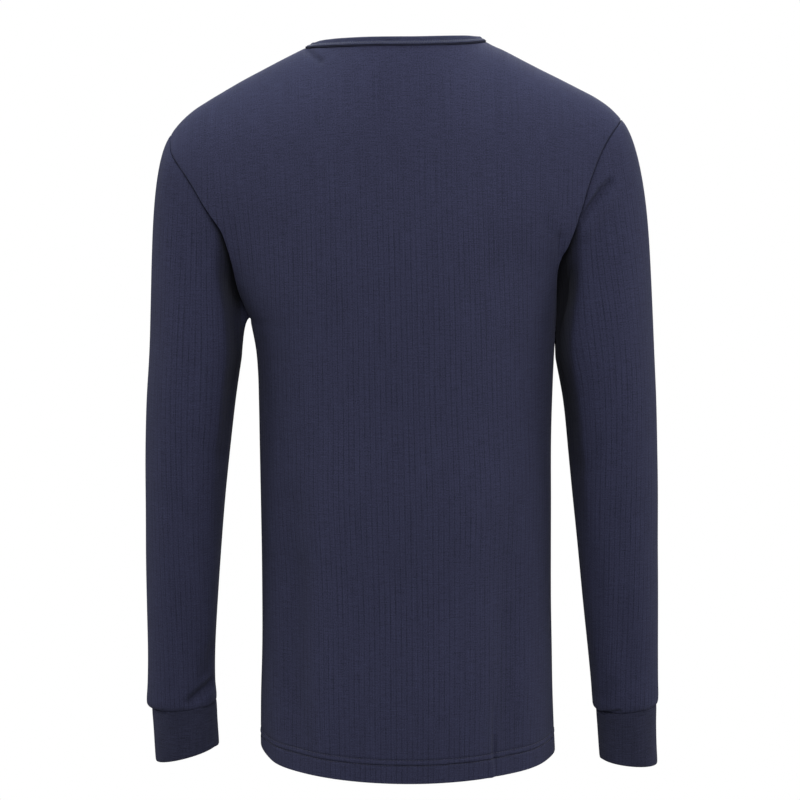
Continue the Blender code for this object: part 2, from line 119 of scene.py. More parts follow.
backdrop = bpy.data.worlds.new("studio_backdrop")
bpy.context.scene.world = backdrop
backdrop.use_nodes = True
tree = backdrop.node_tree
tree.nodes.clear()
path = put(tree, "ShaderNodeLightPath")
level = put(tree, "ShaderNodeMapRange", {0: path.outputs["Is Camera Ray"], 3: ROOM_LIGHT, 4: 1.0})
sky = put(tree, "ShaderNodeBackground", {"Color": STUDIO_WHITE, "Strength": level.outputs[0]})
put(tree, "ShaderNodeOutputWorld", {"Surface": sky.outputs[0]})
bpy.context.scene.view_settings.view_transform = "Standard"


# %% Soft lights
LIGHT_AIM = (0.0, 0.0, -0.25)
COOL, NEUTRAL, WARM = (0.87, 0.96, 1.0), (1.0, 1.0, 1.0), (1.0, 0.985, 0.935)
# Place, width, power and tint of each light, in metres and watts
SOFT_LIGHTS = {
    "key_light": ((-0.15, 2.7, 0.95), 1.6, 59.5, WARM),
    "top_light": ((0.0, -0.5, 2.3), 1.4, 46.0, COOL),
    "left_light": ((2.6, -0.4, 0.5), 1.2, 27.0, NEUTRAL),
    "right_light": ((-2.6, -0.4, 0.5), 1.2, 30.0, NEUTRAL),
    "front_light": ((-0.6, -3.5, 2.2), 2.0, 95.0, NEUTRAL),
}


def soft_light(name, place, size, power, tint):
    """A large square light at a place, turned to face the top."""
    bpy.ops.object.light_add(type="AREA", location=place)
    light = bpy.context.object
    light.name = name
    light.data.shape = "SQUARE"
    light.data.size = size
    light.data.energy = power
    light.data.color = tint
    light.visible_camera = False
    toward = light.location.copy()
    toward.x, toward.y, toward.z = (a - b for a, b in zip(LIGHT_AIM, place))
    light.rotation_euler = toward.to_track_quat("-Z", "Y").to_euler()


for name, settings in SOFT_LIGHTS.items():
    soft_light(name, *settings)

# %% [markdown]
# ## The cut, in tables
# The form of the top is given by a few measures at named heights. Each table has one row for each
# place where a tailor would measure, and a smooth curve runs through its rows. Its columns marked
# _mm are written in millimetres; all other sizes are in metres. Left and right are the wearer's, and
# the back faces +Y.


# %% Tables and smooth curves
def table(columns, rows):
    """A short table: a named column for each word; those marked _mm are kept in metres."""
    columns = zip(columns.split(), np.array(rows, dtype=float).T)
    return {name.removesuffix("_mm"): values / 1000 if name.endswith("_mm") else values
            for name, values in columns}


def hermite(t, start, end, leave, arrive):
    """A curve from start to end as t goes from 0 to 1, with its slopes where it leaves and arrives."""
    return (start * (2 * t**3 - 3 * t**2 + 1) + end * (3 * t**2 - 2 * t**3)
            + leave * (t**3 - 2 * t**2 + t) + arrive * (t**3 - t**2))


def smooth(rows, column, at, by="height"):
    """Values of a column at places of another, on a smooth curve through the table's rows."""
    xs, ys = rows[by], rows[column]
    slopes = np.gradient(ys, xs)
    at = np.clip(at, xs[0], xs[-1])
    i = np.clip(np.searchsorted(xs, at, side="right") - 1, 0, len(xs) - 2)
    width = xs[i + 1] - xs[i]
    t = (at - xs[i]) / width
    return hermite(t, ys[i], ys[i + 1], width * slopes[i], width * slopes[i + 1])


def eased(value, low=0.0, high=1.0):
    """0 to 1 with soft ends, as a value goes from low to high."""
    t = np.clip((value - low) / (high - low), 0, 1)
    return t * t * (3 - 2 * t)


def units(vectors):
    """The vectors at length 1."""
    return vectors / np.maximum(np.linalg.norm(vectors, axis=-1, keepdims=True), 1e-9)


def dots(a, b):
    return np.sum(a * b, axis=-1, keepdims=True)


def points(x, y, z):
    return np.stack(np.broadcast_arrays(x, y, z), axis=-1)


def way_along(line):
    """Length of the way along a line, from its start to each of its points."""
    return np.concatenate([[0.0], np.cumsum(np.linalg.norm(np.diff(line, axis=0), axis=1))])


# %% Measures of the body
CHEST_HEIGHT = -0.270
HEM_HEIGHT = -0.7168
# At the back the hem hangs lower in the middle and toward the sides, and at the left side it lifts
HEM_DIP = 0.0052
HEM_DIP_POWER = 2.2
HEM_SIDE_DIP = 0.006
HEM_SIDE_POWER = 0.3
HEM_CORNER = {"lift": 0.0060, "width": 0.0045, "height": -0.700}
SECTION_POWER = 2.1
SIDES = {"left": 1.0, "right": -1.0}
FACES = {"back": 1.0, "front": -1.0}

# Reach of the side seams to the left and right, and depth of the middle back and front
TORSO = table("height_mm left_mm right_mm back_mm front_mm", [
    (-723, 145.5, 158.2, 112, 113),
    (-697, 145.4, 156.7, 110.5, 113),
    (-665, 145, 155.4, 108.5, 113),
    (-612, 143.6, 153.9, 105, 112.5),
    (-560, 143.1, 152.4, 102, 112),
    (-508, 142.8, 151.9, 100, 111),
    (-456, 143.4, 151.4, 99.5, 111),
    (-404, 144, 151.1, 101.5, 113),
    (-353, 144.6, 151.6, 106, 117.5),
    (-323, 145.3, 152.2, 109, 120),
    (-302, 146.8, 153, 110.5, 121.5),
    (-270, 152.2, 154.8, 112.5, 122.5),
    (-200, 160, 160, 114.5, 122.5),
    (-100, 170, 170, 113, 119),
    (20, 170, 170, 108, 115),
])
print("chest is", round((smooth(TORSO, "left", CHEST_HEIGHT) + smooth(TORSO, "right", CHEST_HEIGHT))
                        * 1000), "mm wide")

# %% [markdown]
# ## The skin of the body
# A body panel is a sheet with columns from one side seam to the other, and rows from hem to
# shoulder. A level cut through a filled top is a rounded oblong, a little fuller than an ellipse.
# Places across a row are spaced by the way round it, as a tape measure would count them, so the
# cloth is not stretched where it turns to the side.


# %% Skin below the chest
SPACING_STEPS = 400
SPACING_SECTION = {"half_width": 0.150, "depth": 0.113}


def way_round(half_width, depth):
    """Share of the half width reached at each share of the way round a level half section."""
    x = half_width * np.sin(np.linspace(0, math.pi / 2, SPACING_STEPS))
    y = depth * (1 - (x / half_width) ** SECTION_POWER) ** 0.5
    way = way_along(points(x, y, 0.0))
    return way / way[-1], x / half_width


WAY_ROUND, REACH_ROUND = way_round(**SPACING_SECTION)


def reach_share(u):
    """Share of the half width, with its sign, at column place u from -1 (right) to 1 (left)."""
    return np.sign(u) * np.interp(np.abs(u), WAY_ROUND, REACH_ROUND)


def between(edges, share):
    """Reach from the middle at a share, -1 (right edge) to 1 (left edge), of the way across."""
    return (edges["left"] - edges["right"]) / 2 + share * (edges["left"] + edges["right"]) / 2


def body_skin(face, u, height):
    """Points of a body panel at or below the chest."""
    share = reach_share(u)
    fullness = np.clip(1 - np.abs(share) ** SECTION_POWER, 0, 1)
    dip = 0.0
    if face == "back":
        dip = HEM_DIP * fullness**HEM_DIP_POWER + HEM_SIDE_DIP * share**2 * fullness**HEM_SIDE_POWER
        dip = dip * (height - CHEST_HEIGHT) / (HEM_HEIGHT - CHEST_HEIGHT)
    edges = {side: smooth(TORSO, side, height) for side in SIDES}
    depth = FACES[face] * smooth(TORSO, face, height) * fullness**0.5
    corner = (1 - share) * edges["left"] / HEM_CORNER["width"]
    lift = HEM_CORNER["lift"] * np.exp(-corner) * eased(height, HEM_CORNER["height"], HEM_HEIGHT)
    return points(between(edges, share), depth, height - dip + lift)


middle_back = body_skin("back", np.array([0.0]), np.array([-0.5]))[0]
print("middle of the back at the waist:", middle_back.round(3))

# %% [markdown]
# ## Shoulders and armholes
# Above the chest the side seams open into the armholes, and the sheet turns over the shoulders to
# the shoulder seams and the neckline. Two more tables hold the slope of the shoulders and the reach
# of the armholes, which are not quite the same left and right.

# %% Measures of the yoke
NECK_MIDDLE = 0.0063
NECK_HALF = 0.0888
NECK_RISE_BACK = -0.0004
NECK_TILT = -0.15
NECK_DROP_FRONT = 0.082
NECK_FRONT_POWER = 0.92
NECK_SHARE = 22 / 36
SHOULDER_POWER = 2.7
ARMHOLE_DEPTH = {"back": 0.064, "front": 0.058}
ARMHOLE_SCOOP = 0.010
ARMPIT_CLIMB = 0.50
ARMPIT_POWER = 0.75
FLATTEN_CLIMB = 0.35
COLUMN_DRIFT = 0.8

# Height of the shoulder line at a reach from the middle; inside the neckline it is the neck's slope
SHOULDER = table("reach_mm left_mm right_mm", [
    (0, 62, 62),
    (30, 52, 52),
    (60, 27, 27),
    (75, 13, 10.8),
    (87.5, 3.5, 2.7),
    (100, -2.8, -2.8),
    (119, -12.4, -12.4),
    (138, -22.2, -22.2),
    (158, -32.6, -32.1),
    (176, -43, -41.3),
    (194, -53.8, -50.9),
    (208, -63, -60.8),
    (218.5, -72.2, -71.4),
    (227, -82, -82),
    (235, -94.5, -94.5),
])

# Reach of each armhole at a height, from the armpit to the shoulder point
ARMHOLE = {
    "left": table("height_mm reach_mm", [
        (-270, 151.8),
        (-245.8, 162.2),
        (-222.1, 168.2),
        (-208.2, 172.5),
        (-194.6, 178),
        (-185.1, 184.7),
        (-169.2, 195.5),
        (-154.9, 203.4),
        (-139.1, 212.3),
        (-125.4, 219.4),
        (-104.3, 228),
        (-86.3, 230),
    ]),
    "right": table("height_mm reach_mm", [
        (-270, 154.8),
        (-244.5, 153.5),
        (-222.5, 154.8),
        (-207.2, 162.6),
        (-190, 169.9),
        (-171.3, 176.6),
        (-149.3, 183.5),
        (-115.6, 196.5),
        (-76.9, 216),
        (-72.4, 218.2),
    ]),
}


# %% Skin above the chest
def shoulder_height(x):
    """Height of the shoulder line at a reach from the middle."""
    left = smooth(SHOULDER, "left", np.abs(x), by="reach")
    right = smooth(SHOULDER, "right", np.abs(x), by="reach")
    return np.where(np.asarray(x) >= 0, left, right)


def fall_share(x, height):
    """Share of the way down from the shoulder line to the chest, at a reach from the middle."""
    ridge = shoulder_height(x)
    return (ridge - height) / (ridge - CHEST_HEIGHT)


def yoke_depth(face, x, height, share, climb):
    """Depth of the skin above the chest; climb is 0 at the chest and 1 at the armhole's top."""
    rise = np.sin(np.clip(climb / ARMPIT_CLIMB, 0, 1) * math.pi / 2) ** ARMPIT_POWER
    arm_depth = ARMHOLE_DEPTH[face] * rise
    power = 0.5 + 0.5 * np.clip(climb / FLATTEN_CLIMB, 0, 1)
    across = np.clip(1 - np.abs(share) ** SECTION_POWER, 0, 1) ** power
    full = arm_depth + (smooth(TORSO, face, height) - arm_depth) * across
    above = np.clip(1 - fall_share(x, height), 0, 1)
    return FACES[face] * full * np.sqrt(1 - above**SHOULDER_POWER)


def neckline_place(face, turn):
    """Reach and height of the neckline at a turn, -90 to 90 degrees from right to left."""
    ends = [shoulder_height(NECK_MIDDLE + sign * NECK_HALF) for sign in (-1, 1)]
    tilt = np.sin(turn) * (NECK_TILT + (1 - NECK_TILT) * np.abs(np.sin(turn)))
    level = ends[0] + (ends[1] - ends[0]) * (tilt + 1) / 2
    bow = np.maximum(np.cos(turn), 0)
    if face == "back":
        level = level + NECK_RISE_BACK * bow
    else:
        level = level - NECK_DROP_FRONT * bow**NECK_FRONT_POWER
    return NECK_MIDDLE + NECK_HALF * np.sin(turn), level


def top_share(x):
    """Share of the way across at which the top of a panel has a reach."""
    ends = {side: rows["reach"][-1] for side, rows in ARMHOLE.items()}
    return (x - between(ends, 0.0)) / (between(ends, 1.0) - between(ends, 0.0))


def neckline_spacing(face):
    """Share of the neckline's length reached at each turn, the turns and the whole length."""
    turns = np.linspace(-math.pi / 2, math.pi / 2, SPACING_STEPS)
    x, height = neckline_place(face, turns)
    way = way_along(points(x, yoke_depth(face, x, height, top_share(x), 1.0), height))
    return way / way[-1], turns, way[-1]


NECKLINE = {face: neckline_spacing(face) for face in FACES}
print("neckline is", round(sum(line[2] for line in NECKLINE.values()) * 1000), "mm round")


# %% The yoke's columns
def top_place(face, u):
    """Reach and height of a panel's top edge: shoulder seam, neckline, shoulder seam."""
    way, turns, _ = NECKLINE[face]
    neck_x, neck_height = neckline_place(face, np.interp((u / NECK_SHARE + 1) / 2, way, turns))
    tips = np.where(u >= 0, ARMHOLE["left"]["reach"][-1], -ARMHOLE["right"]["reach"][-1])
    start = NECK_MIDDLE + np.sign(u) * NECK_HALF
    x = start + (np.abs(u) - NECK_SHARE) / (1 - NECK_SHARE) * (tips - start)
    inside = np.abs(u) <= NECK_SHARE
    return np.where(inside, neck_x, x), np.where(inside, neck_height, shoulder_height(x))


def yoke_skin(face, u, place):
    """Points of a panel above the chest; place is 0 at the chest and 1 at the top edge."""
    climb = np.sin(place * math.pi / 2)
    top_x, top_height = top_place(face, u)
    drift = 1 - (1 - place) ** COLUMN_DRIFT
    share = reach_share(u) + (top_share(top_x) - reach_share(u)) * drift
    edges = {}
    for side, rows in ARMHOLE.items():
        edges[side] = smooth(rows, "reach", CHEST_HEIGHT + (rows["height"][-1] - CHEST_HEIGHT) * climb)
        if face == "front":
            edges[side] = edges[side] - ARMHOLE_SCOOP * np.sin(math.pi * climb) ** 2
    x = between(edges, share)
    fall = 1 - (1 - fall_share(top_x, top_height)) * climb
    height = shoulder_height(x) - fall * (shoulder_height(x) - CHEST_HEIGHT)
    return points(x, yoke_depth(face, x, height, share, climb), height)


def panel_skin(face, u, places):
    """Points of a panel; a place is a height up to the chest, then 0 to 1 from chest to top."""
    below = places[places < 0][:, None]
    above = places[places >= 0][:, None]
    return np.concatenate([body_skin(face, u[None, :], below), yoke_skin(face, u[None, :], above)])


print("shoulder point:", panel_skin("back", np.array([1.0]), np.array([1.0]))[0, 0].round(3))

# %% [markdown]
# ## The skin of the sleeves
# A sleeve is a tube with an underarm seam. Its rings are given by their outer and inner edges, where
# the middle lies and how deep the ring is. At its top, the cap, the rings are drawn from the armhole
# in the direction in which the cloth leaves the body, and turn down into the arm. The cuffs are
# shorter tubes of the same kind.

# %% Measures of the sleeves and cuffs
TUBE_COLUMNS = "outer_x_mm outer_z_mm inner_x_mm inner_z_mm middle_y_mm depth_mm"
SLEEVE = {
    "left": table(TUBE_COLUMNS, [
        (255.3, -313, 162.2, -313, -3.1, 55),
        (258.3, -354, 168.4, -354, -4.2, 52.5),
        (260.3, -406, 174.9, -406, -7.3, 49.5),
        (261.6, -458, 180.7, -458, -10.8, 46.5),
        (262.8, -511, 185.7, -511, -16.1, 44),
        (263.1, -565, 189.9, -565, -21.7, 41.5),
        (263.5, -620, 193.7, -618, -27.9, 39),
        (264.6, -653, 194.6, -650, -31.5, 38),
        (266, -672, 193.6, -666, -33.5, 37.5),
        (265, -678, 193.6, -672, -34.2, 35.5),
        (259.9, -681.1, 194.5, -675, -34.7, 32),
    ]),
    "right": table(TUBE_COLUMNS, [
        (-254.8, -313, -155.6, -313, -3.1, 55),
        (-257.2, -354, -163, -354, -4.2, 52.5),
        (-259.3, -406, -168.8, -406, -7.3, 49.5),
        (-261.4, -458, -174.6, -458, -10.8, 46.5),
        (-262.8, -511, -180.7, -511, -16.1, 44),
        (-264.1, -565, -186.8, -565, -21.7, 41.5),
        (-265.6, -619.5, -193, -619.5, -27.9, 39),
        (-266.5, -650, -196.7, -653, -31.5, 38),
        (-267.2, -667, -198.5, -672, -33.5, 37),
        (-266.8, -674.5, -199.7, -679.5, -34.2, 35),
        (-264.6, -677.8, -203.4, -683.3, -34.7, 31.5),
    ]),
}

CUFF = {
    "left": table(TUBE_COLUMNS, [
        (259.9, -681.1, 194.5, -675, -34.7, 32),
        (260.6, -684, 193.5, -677.5, -35.1, 31.8),
        (259.7, -705, 192.8, -695, -37, 30),
        (259, -726.5, 191.9, -711.5, -38.8, 28.5),
        (258.4, -738.2, 191.5, -721.7, -39.9, 27.5),
        (257.6, -740.5, 192.3, -724, -40.1, 26.5),
    ]),
    "right": table(TUBE_COLUMNS, [
        (-264.6, -677.8, -203.4, -683.3, -34.7, 31.5),
        (-265.5, -680.5, -203, -685.8, -35.1, 31.3),
        (-265.8, -700, -204.5, -703, -37, 29.5),
        (-266.8, -722, -206, -722, -38.8, 28),
        (-268, -740.5, -207.2, -735.5, -39.9, 27),
        (-267.3, -742.8, -208, -737.8, -40.1, 26),
    ]),
}


# %% Rings of a tube
# How flat the upper arm lies against the body, from ring to ring down the sleeve
FLANK = table("ring flatness", [
    (0.0, 1.00),
    (1.0, 0.80),
    (2.0, 0.45),
    (3.5, 0.0),
    (20.0, 0.0),
])
FLANK_SLOPE = 2.46
FLANK_SOFT = 0.06
FLANK_START = 0.4


def flattened(inward, through, flatness):
    """Depth share of a ring's point, pressed flat where the ring turns in toward the body."""
    over = through - FLANK_SLOPE * (1 - inward)
    pressed = (over + np.sqrt(over**2 + FLANK_SOFT**2)) / 2 * eased(inward, 0.0, FLANK_START)
    return np.maximum(through - flatness * pressed * through, 0)


def tube_skin(rows, ring, around, flank=None):
    """Points of an arm tube; ring counts table rows, around goes 0 (inner) over the back to 2."""
    by_ring = dict(rows, ring=np.arange(len(rows["depth"]), dtype=float))
    at = {name: smooth(by_ring, name, ring, by="ring") for name in rows}
    outer = points(at["outer_x"], at["middle_y"], at["outer_z"])
    inner = points(at["inner_x"], at["middle_y"], at["inner_z"])
    angle = math.pi * (1 - around)
    across = (outer - inner) / 2 * np.cos(angle)[..., None]
    share = np.abs(np.sin(angle))
    if flank:
        flatness = smooth(flank, "flatness", ring, by="ring")
        share = flattened(np.maximum(-np.cos(angle), 0), share, flatness)
    through = points(0.0, at["depth"] * share * np.sign(np.sin(angle)), 0.0)
    return (outer + inner) / 2 + across + through


# %% The sleeve cap
CAP_LEAVE = 0.50
CAP_ARRIVE = 0.95
EDGE_STEP = 0.03
CAP_GUIDES = 24
CAP_OVERLAP = 3


def armhole_line(side, around):
    """Points of an armhole; around runs 0 (armpit), 1 (shoulder, up the back), 2 (armpit again)."""
    edge = np.array([SIDES[side]])
    return np.concatenate([panel_skin("back", edge, around[around <= 1])[:, 0],
                           panel_skin("front", edge, np.sort(2 - around[around > 1]))[::-1, 0]])


def armhole_outward(side, around):
    """Direction in which the cloth leaves the body, smooth all round the armhole."""
    guides = np.linspace(0.0, 2.0, CAP_GUIDES + 1)[:-1]
    leaving = np.zeros((CAP_GUIDES, 3))
    for n, guide in enumerate(guides):
        place = min(guide, 2 - guide)
        for face in FACES if place in (0.0, 1.0) else ["back" if guide < 1 else "front"]:
            edge, inside = panel_skin(face, np.array([1, 1 - EDGE_STEP]) * SIDES[side],
                                      np.array([place]))[0]
            leaving[n] += units(edge - inside)
    round_again = np.arange(-CAP_OVERLAP, CAP_GUIDES + CAP_OVERLAP + 1)
    ring = table("x y z", units(leaving)[round_again % CAP_GUIDES])
    ring["around"] = round_again * 2 / CAP_GUIDES
    return units(points(*(smooth(ring, axis, around, by="around") for axis in "xyz")))


def sleeve_skin(side, rings, around):
    """Points of a sleeve; a ring is 0 to 1 from armhole to upper arm, then counts table rows."""
    rows = SLEEVE[side]
    start = armhole_line(side, around)
    end = tube_skin(rows, np.array([0.0]), around, FLANK)
    span = np.linalg.norm(end - start, axis=-1, keepdims=True)
    leave = armhole_outward(side, around) * span * CAP_LEAVE
    arrive = units(tube_skin(rows, np.array([0.5]), around, FLANK) - end) * span * CAP_ARRIVE
    cap = hermite(rings[rings < 1][:, None, None], start, end, leave, arrive)
    arm = tube_skin(rows, rings[rings >= 1][:, None] - 1, around[None, :], FLANK)
    return np.concatenate([cap, arm])


print("underarm seam starts at", armhole_line("left", np.array([0.0]))[0].round(3))

# %% [markdown]
# ## Creases
# Worn-in knit is never quite even. The creases are given one by one: each row of a table is a soft
# trough between two points of the back or the front (or a ridge, where its depth is negative), with
# its own width. The sharpest ones are the pucker where the hem's stitches start and end, the fold
# from the right armhole over the sleeve, and the small ones over the cuffs. A trough also gets a
# little painted shade, a darkening of its colour for the shade in it, more where it is steeper. Where
# narrow troughs cross, the deepest one counts, while wide ones add up, so a long soft band is made of
# a few rows that grow shorter. Below them all lies a slow unevenness, under half a millimetre high.

# %% Crease tables
CREASE_COLUMNS = "x1_mm z1_mm x2_mm z2_mm width_mm depth_mm"
BACK_CREASES = table(CREASE_COLUMNS, [
    # the pucker in the hem, with a low ridge beside it
    (-94.5, -680, -95, -701, 2.8, 1.7),
    (-95.5, -701, -97.5, -722, 3.2, 0.9),
    (-94, -650, -94.5, -680, 3.2, 1.1),
    (-90.5, -702, -92.5, -722, 2.4, -1.4),
    # the fold that runs from the right armhole over the sleeve, and the dent beside the armpit
    (-176.7, -165.6, -187.5, -149.8, 2.8, 4.2),
    (-187.5, -149.8, -195.3, -139, 2.8, 4.2),
    (-195.3, -139, -204.1, -131.1, 3.6, 2.6),
    (-181, -180, -205, -145, 6.0, -2.0),
    (-153.5, -183, -155.6, -202.5, 5.0, 1.6),
    (-143.7, -175.3, -138, -166, 6.0, 0.8),
    # over the left cuff, and over and under the right one
    (215, -665, 195, -651, 5.6, 4.4),
    (201, -638, 195, -615, 7.0, 2.0),
    (-209, -683, -223, -678, 2.4, 1.5),
    (-212, -689, -220, -687, 2.4, -1.0),
    (-206, -662, -216, -648, 7.0, 1.6),
    # below the left end of the neck binding
    (93, -3, 80, -13, 3.2, 1.3),
    # wide shallow troughs beside the spine and over the loins
    (108, -390, 108, -700, 17.0, 1.9),
    (108, -450, 108, -680, 17.0, 2.0),
    (108, -510, 108, -650, 17.0, 2.0),
    (-106, -450, -106, -710, 17.0, 1.7),
    (-106, -510, -106, -690, 17.0, 1.7),
    (-106, -570, -106, -660, 17.0, 1.6),
    (100, -750, -100, -750, 80.0, 6.0),
    (60, -440, -60, -440, 62.0, -7.0),
    (80, -125, -80, -125, 50.0, 3.0),
    (-10, -360, -7, -470, 42.0, -1.8),
    (40, -570, 50, -670, 20.0, 0.8),
    (-30, -600, -25, -690, 22.0, -0.8),
    (100, -210, 60, -250, 14.0, 0.9),
    (-105, -190, -70, -240, 14.0, 1.0),
    # bends of the sleeves at the elbows
    (205, -385, 185, -405, 9.0, 1.4),
    (235, -450, 210, -470, 12.0, 1.0),
    (-195, -390, -180, -415, 9.0, 1.4),
    (-240, -460, -215, -470, 12.0, 1.0),
    (225, -550, 212, -620, 11.0, 0.9),
    (-225, -560, -235, -630, 11.0, 0.9),
])
FRONT_CREASES = table(CREASE_COLUMNS, [
    # from the armpits to the chest
    (150, -210, 115, -175, 6.0, 2.4),
    (145, -235, 105, -215, 7.0, 1.6),
    (-150, -205, -120, -170, 6.5, 2.2),
    (-145, -240, -100, -225, 8.0, 1.4),
    (195, -175, 213, -148, 5.0, 1.8),
    (-190, -180, -208, -152, 5.0, 1.9),
    # down the sides and above the hem
    (90, -420, 95, -630, 24.0, 1.8),
    (-95, -400, -100, -610, 22.0, 1.9),
    (10, -560, 0, -680, 26.0, 1.1),
    (56, -695, 56, -720, 3.0, 1.2),
    # on the sleeves, at the elbows and over the cuffs
    (250, -405, 200, -425, 6.5, 2.2),
    (245, -435, 205, -445, 6.0, 1.7),
    (-250, -410, -200, -430, 6.5, 2.1),
    (-245, -445, -205, -450, 6.0, 1.6),
    (225, -655, 208, -640, 4.0, 1.4),
    (-225, -660, -212, -645, 4.0, 1.5),
])
CREASES = {"back": BACK_CREASES, "front": FRONT_CREASES}
# Waves of the unevenness: how fast they run across and down, and how high they are
UNEVEN = table("across down turn height_mm", [
    (61.0, 9.0, 0.4, 0.13),
    (23.0, -31.0, 1.9, 0.11),
    (97.0, 21.0, 3.1, 0.06),
    (11.0, 47.0, 5.2, 0.10),
])


# %% Creased skin
# Width up to which a trough is narrow, and how its painted shade grows with its steepness
NARROW = 0.008
CREASE_SHADE = 0.4
DARKEST_CREASE = 0.24
# How far a point has to look to the back or front to take the creases of that face in full
CREASE_FACING = 0.4
UNEVEN_TURN = 2.0


def creased(places, normals):
    """How far the creases bring out each point, in metres, and how much painted shade they give it."""
    x, z = places[..., 0], places[..., 2]
    out, narrow, shade, soft_shade = np.zeros((4, *x.shape))
    for face, rows in CREASES.items():
        facing = eased(normals[..., 1] * FACES[face], 0.0, CREASE_FACING)
        for x1, z1, x2, z2, width, depth in zip(*rows.values()):
            dx, dz = x2 - x1, z2 - z1
            t = np.clip(((x - x1) * dx + (z - z1) * dz) / (dx * dx + dz * dz), 0, 1)
            away = np.hypot(x - x1 - t * dx, z - z1 - t * dz) / width
            form = np.exp(-away**2) * facing
            steep = np.clip(CREASE_SHADE * depth / width, 0, DARKEST_CREASE)
            if width < NARROW and depth > 0:
                narrow = np.maximum(narrow, depth * form)
                shade = np.maximum(shade, steep * form)
            else:
                out -= depth * form
                soft_shade += steep * form
    return out - narrow, np.maximum(shade, soft_shade)


def unevenness(places, normals):
    """The slow unevenness of the cloth at each point, in metres."""
    turned = UNEVEN_TURN * normals[..., 1]
    return sum(height * np.sin(across * places[..., 0] + down * places[..., 2] + turn + turned)
               for across, down, turn, height in zip(*UNEVEN.values()))


print({face: len(rows["depth"]) for face, rows in CREASES.items()}, "creases")

# %% [markdown]
# The deepest fold has a table of its own. Where an arm hangs, its sleeve folds in under the edge of
# the body panel, so the seam sinks into a dark valley, toward the middle of the sleeve's depth. On
# the panel's side the cloth turns down at once, and on the sleeve's side it comes up slowly. How far
# a point has sunk also gives it painted shade later, a darkening of its colour that stands in for the
# little light that reaches the bottom of such a fold.

# %% Underarm fold
# place is 0 at the armpit and 1 at the shoulder; depth is the depth at the seam
UNDERARM = {
    "left": table("place depth_mm width_mm", [
        (0.00, 0.0, 9.0),
        (0.06, 12.0, 10.0),
        (0.14, 16.0, 9.0),
        (0.22, 12.0, 6.5),
        (0.28, 7.0, 5.0),
        (0.36, 3.0, 4.0),
        (0.50, 1.4, 3.2),
        (0.75, 0.6, 2.6),
        (1.00, 0.2, 2.6),
    ]),
    "right": table("place depth_mm width_mm", [
        (0.00, 0.0, 12.0),
        (0.06, 15.0, 12.0),
        (0.14, 20.0, 11.0),
        (0.20, 14.0, 8.0),
        (0.27, 6.0, 4.5),
        (0.36, 2.5, 3.6),
        (0.50, 1.2, 3.0),
        (0.75, 0.5, 2.6),
        (1.00, 0.2, 2.6),
    ]),
}
# How sharply the fold ends on the sleeve, and how widely it blends the places of the seam
FOLD_POWER = 1.5
FOLD_BLEND = 0.0015
# No point sinks by more than this share of its way to the middle of the sleeve
FOLD_LIMIT = 0.7


def underarm(side, place):
    """Depth and width of the fold, in metres, at places up the armhole."""
    return [smooth(UNDERARM[side], name, place, by="place") for name in ("depth", "width")]


def fold_in(side, skin, around):
    """Sinks a sleeve's skin near its armhole seam, most at the seam, and gives how far it sank."""
    depth, width = underarm(side, np.minimum(around, 2 - around))
    start, step = skin[0, :-1].copy(), np.diff(skin[0], axis=0)
    middle = SLEEVE[side]["middle_y"][0]
    sunk = np.zeros(skin.shape[:2])
    for n, row in enumerate(skin):
        along = dots(row[:, None] - start, step) / dots(step, step)
        share = np.clip(along, 0, 1)
        away = np.linalg.norm(row[:, None] - start - share * step, axis=-1)
        near = np.exp((away.min(axis=1, keepdims=True) - away) / FOLD_BLEND)
        near /= near.sum(axis=1, keepdims=True)
        deep, wide = (np.sum(near * (part[:-1] + share[..., 0] * np.diff(part)), axis=1)
                      for part in (depth, width))
        fold = deep * np.exp(-(away.min(axis=1) / wide) ** FOLD_POWER)
        out = row[:, 1] - middle
        sunk[n] = np.minimum(fold, FOLD_LIMIT * np.abs(out))
        row[:, 1] -= np.sign(out) * sunk[n]
    return sunk


def seam_depth(side, face, places):
    """How deep the seam of a panel's side lies at the panel's places above the chest."""
    place = np.clip(places, 0, 1)
    depth, _ = underarm(side, place)
    y = panel_skin(face, np.array([SIDES[side]]), places)[:, 0, 1]
    limit = FOLD_LIMIT * np.abs(y - SLEEVE[side]["middle_y"][0])
    return np.minimum(depth, limit) * (places >= 0)


# %% [markdown]
# ## Grids of cloth
# Each piece is kept as a grid that holds these things at every point: its place, the normal of the
# skin, its place in the flat cut, how far it is dropped under the skin at a rolled seam, how deep
# the seam beside it lies, how far it sinks with that seam, and its painted shade, which darkens its
# colour where folds, creases, grooves and flanks lie in shade. The flat cut is found as a tailor
# would find it, by measuring along and across the grain; the knit's lines follow it later.


# %% Normals that agree at the seams
# Points are the same where they agree to this many decimals of a metre
SAME_DECIMALS = 5


def skin_normals(grid):
    """Unit normals of a grid of points, from its steps along columns and rows."""
    return units(np.cross(np.gradient(grid, axis=1), np.gradient(grid, axis=0)))


def agree_at_seams(grids, normals):
    """Gives points that lie on each other, in any grids, the same normal."""
    flat_points = np.concatenate([grids[name].reshape(-1, 3) for name in grids])
    flat_normals = np.concatenate([normals[name].reshape(-1, 3) for name in grids])
    _, same = np.unique(flat_points.round(SAME_DECIMALS), axis=0, return_inverse=True)
    total = np.zeros((same.max() + 1, 3))
    np.add.at(total, same.ravel(), flat_normals)
    shared = units(total[same.ravel()])
    start = 0
    for name, grid in grids.items():
        count = grid.shape[0] * grid.shape[1]
        normals[name] = shared[start:start + count].reshape(grid.shape)
        start += count


# %% Grain
# The lines turn to the way over the shoulder, or down the arm, as its length on the skin grows
OVER_SHOULDER = (0.10, 0.35)
DOWN_ARM = (0.35, 0.70)
ARM_SPLAY = 0.03
ARM_FORWARD = -0.06
ARM_WAY = {side: units(np.array([sign * ARM_SPLAY, ARM_FORWARD, -1.0])) for side, sign in SIDES.items()}


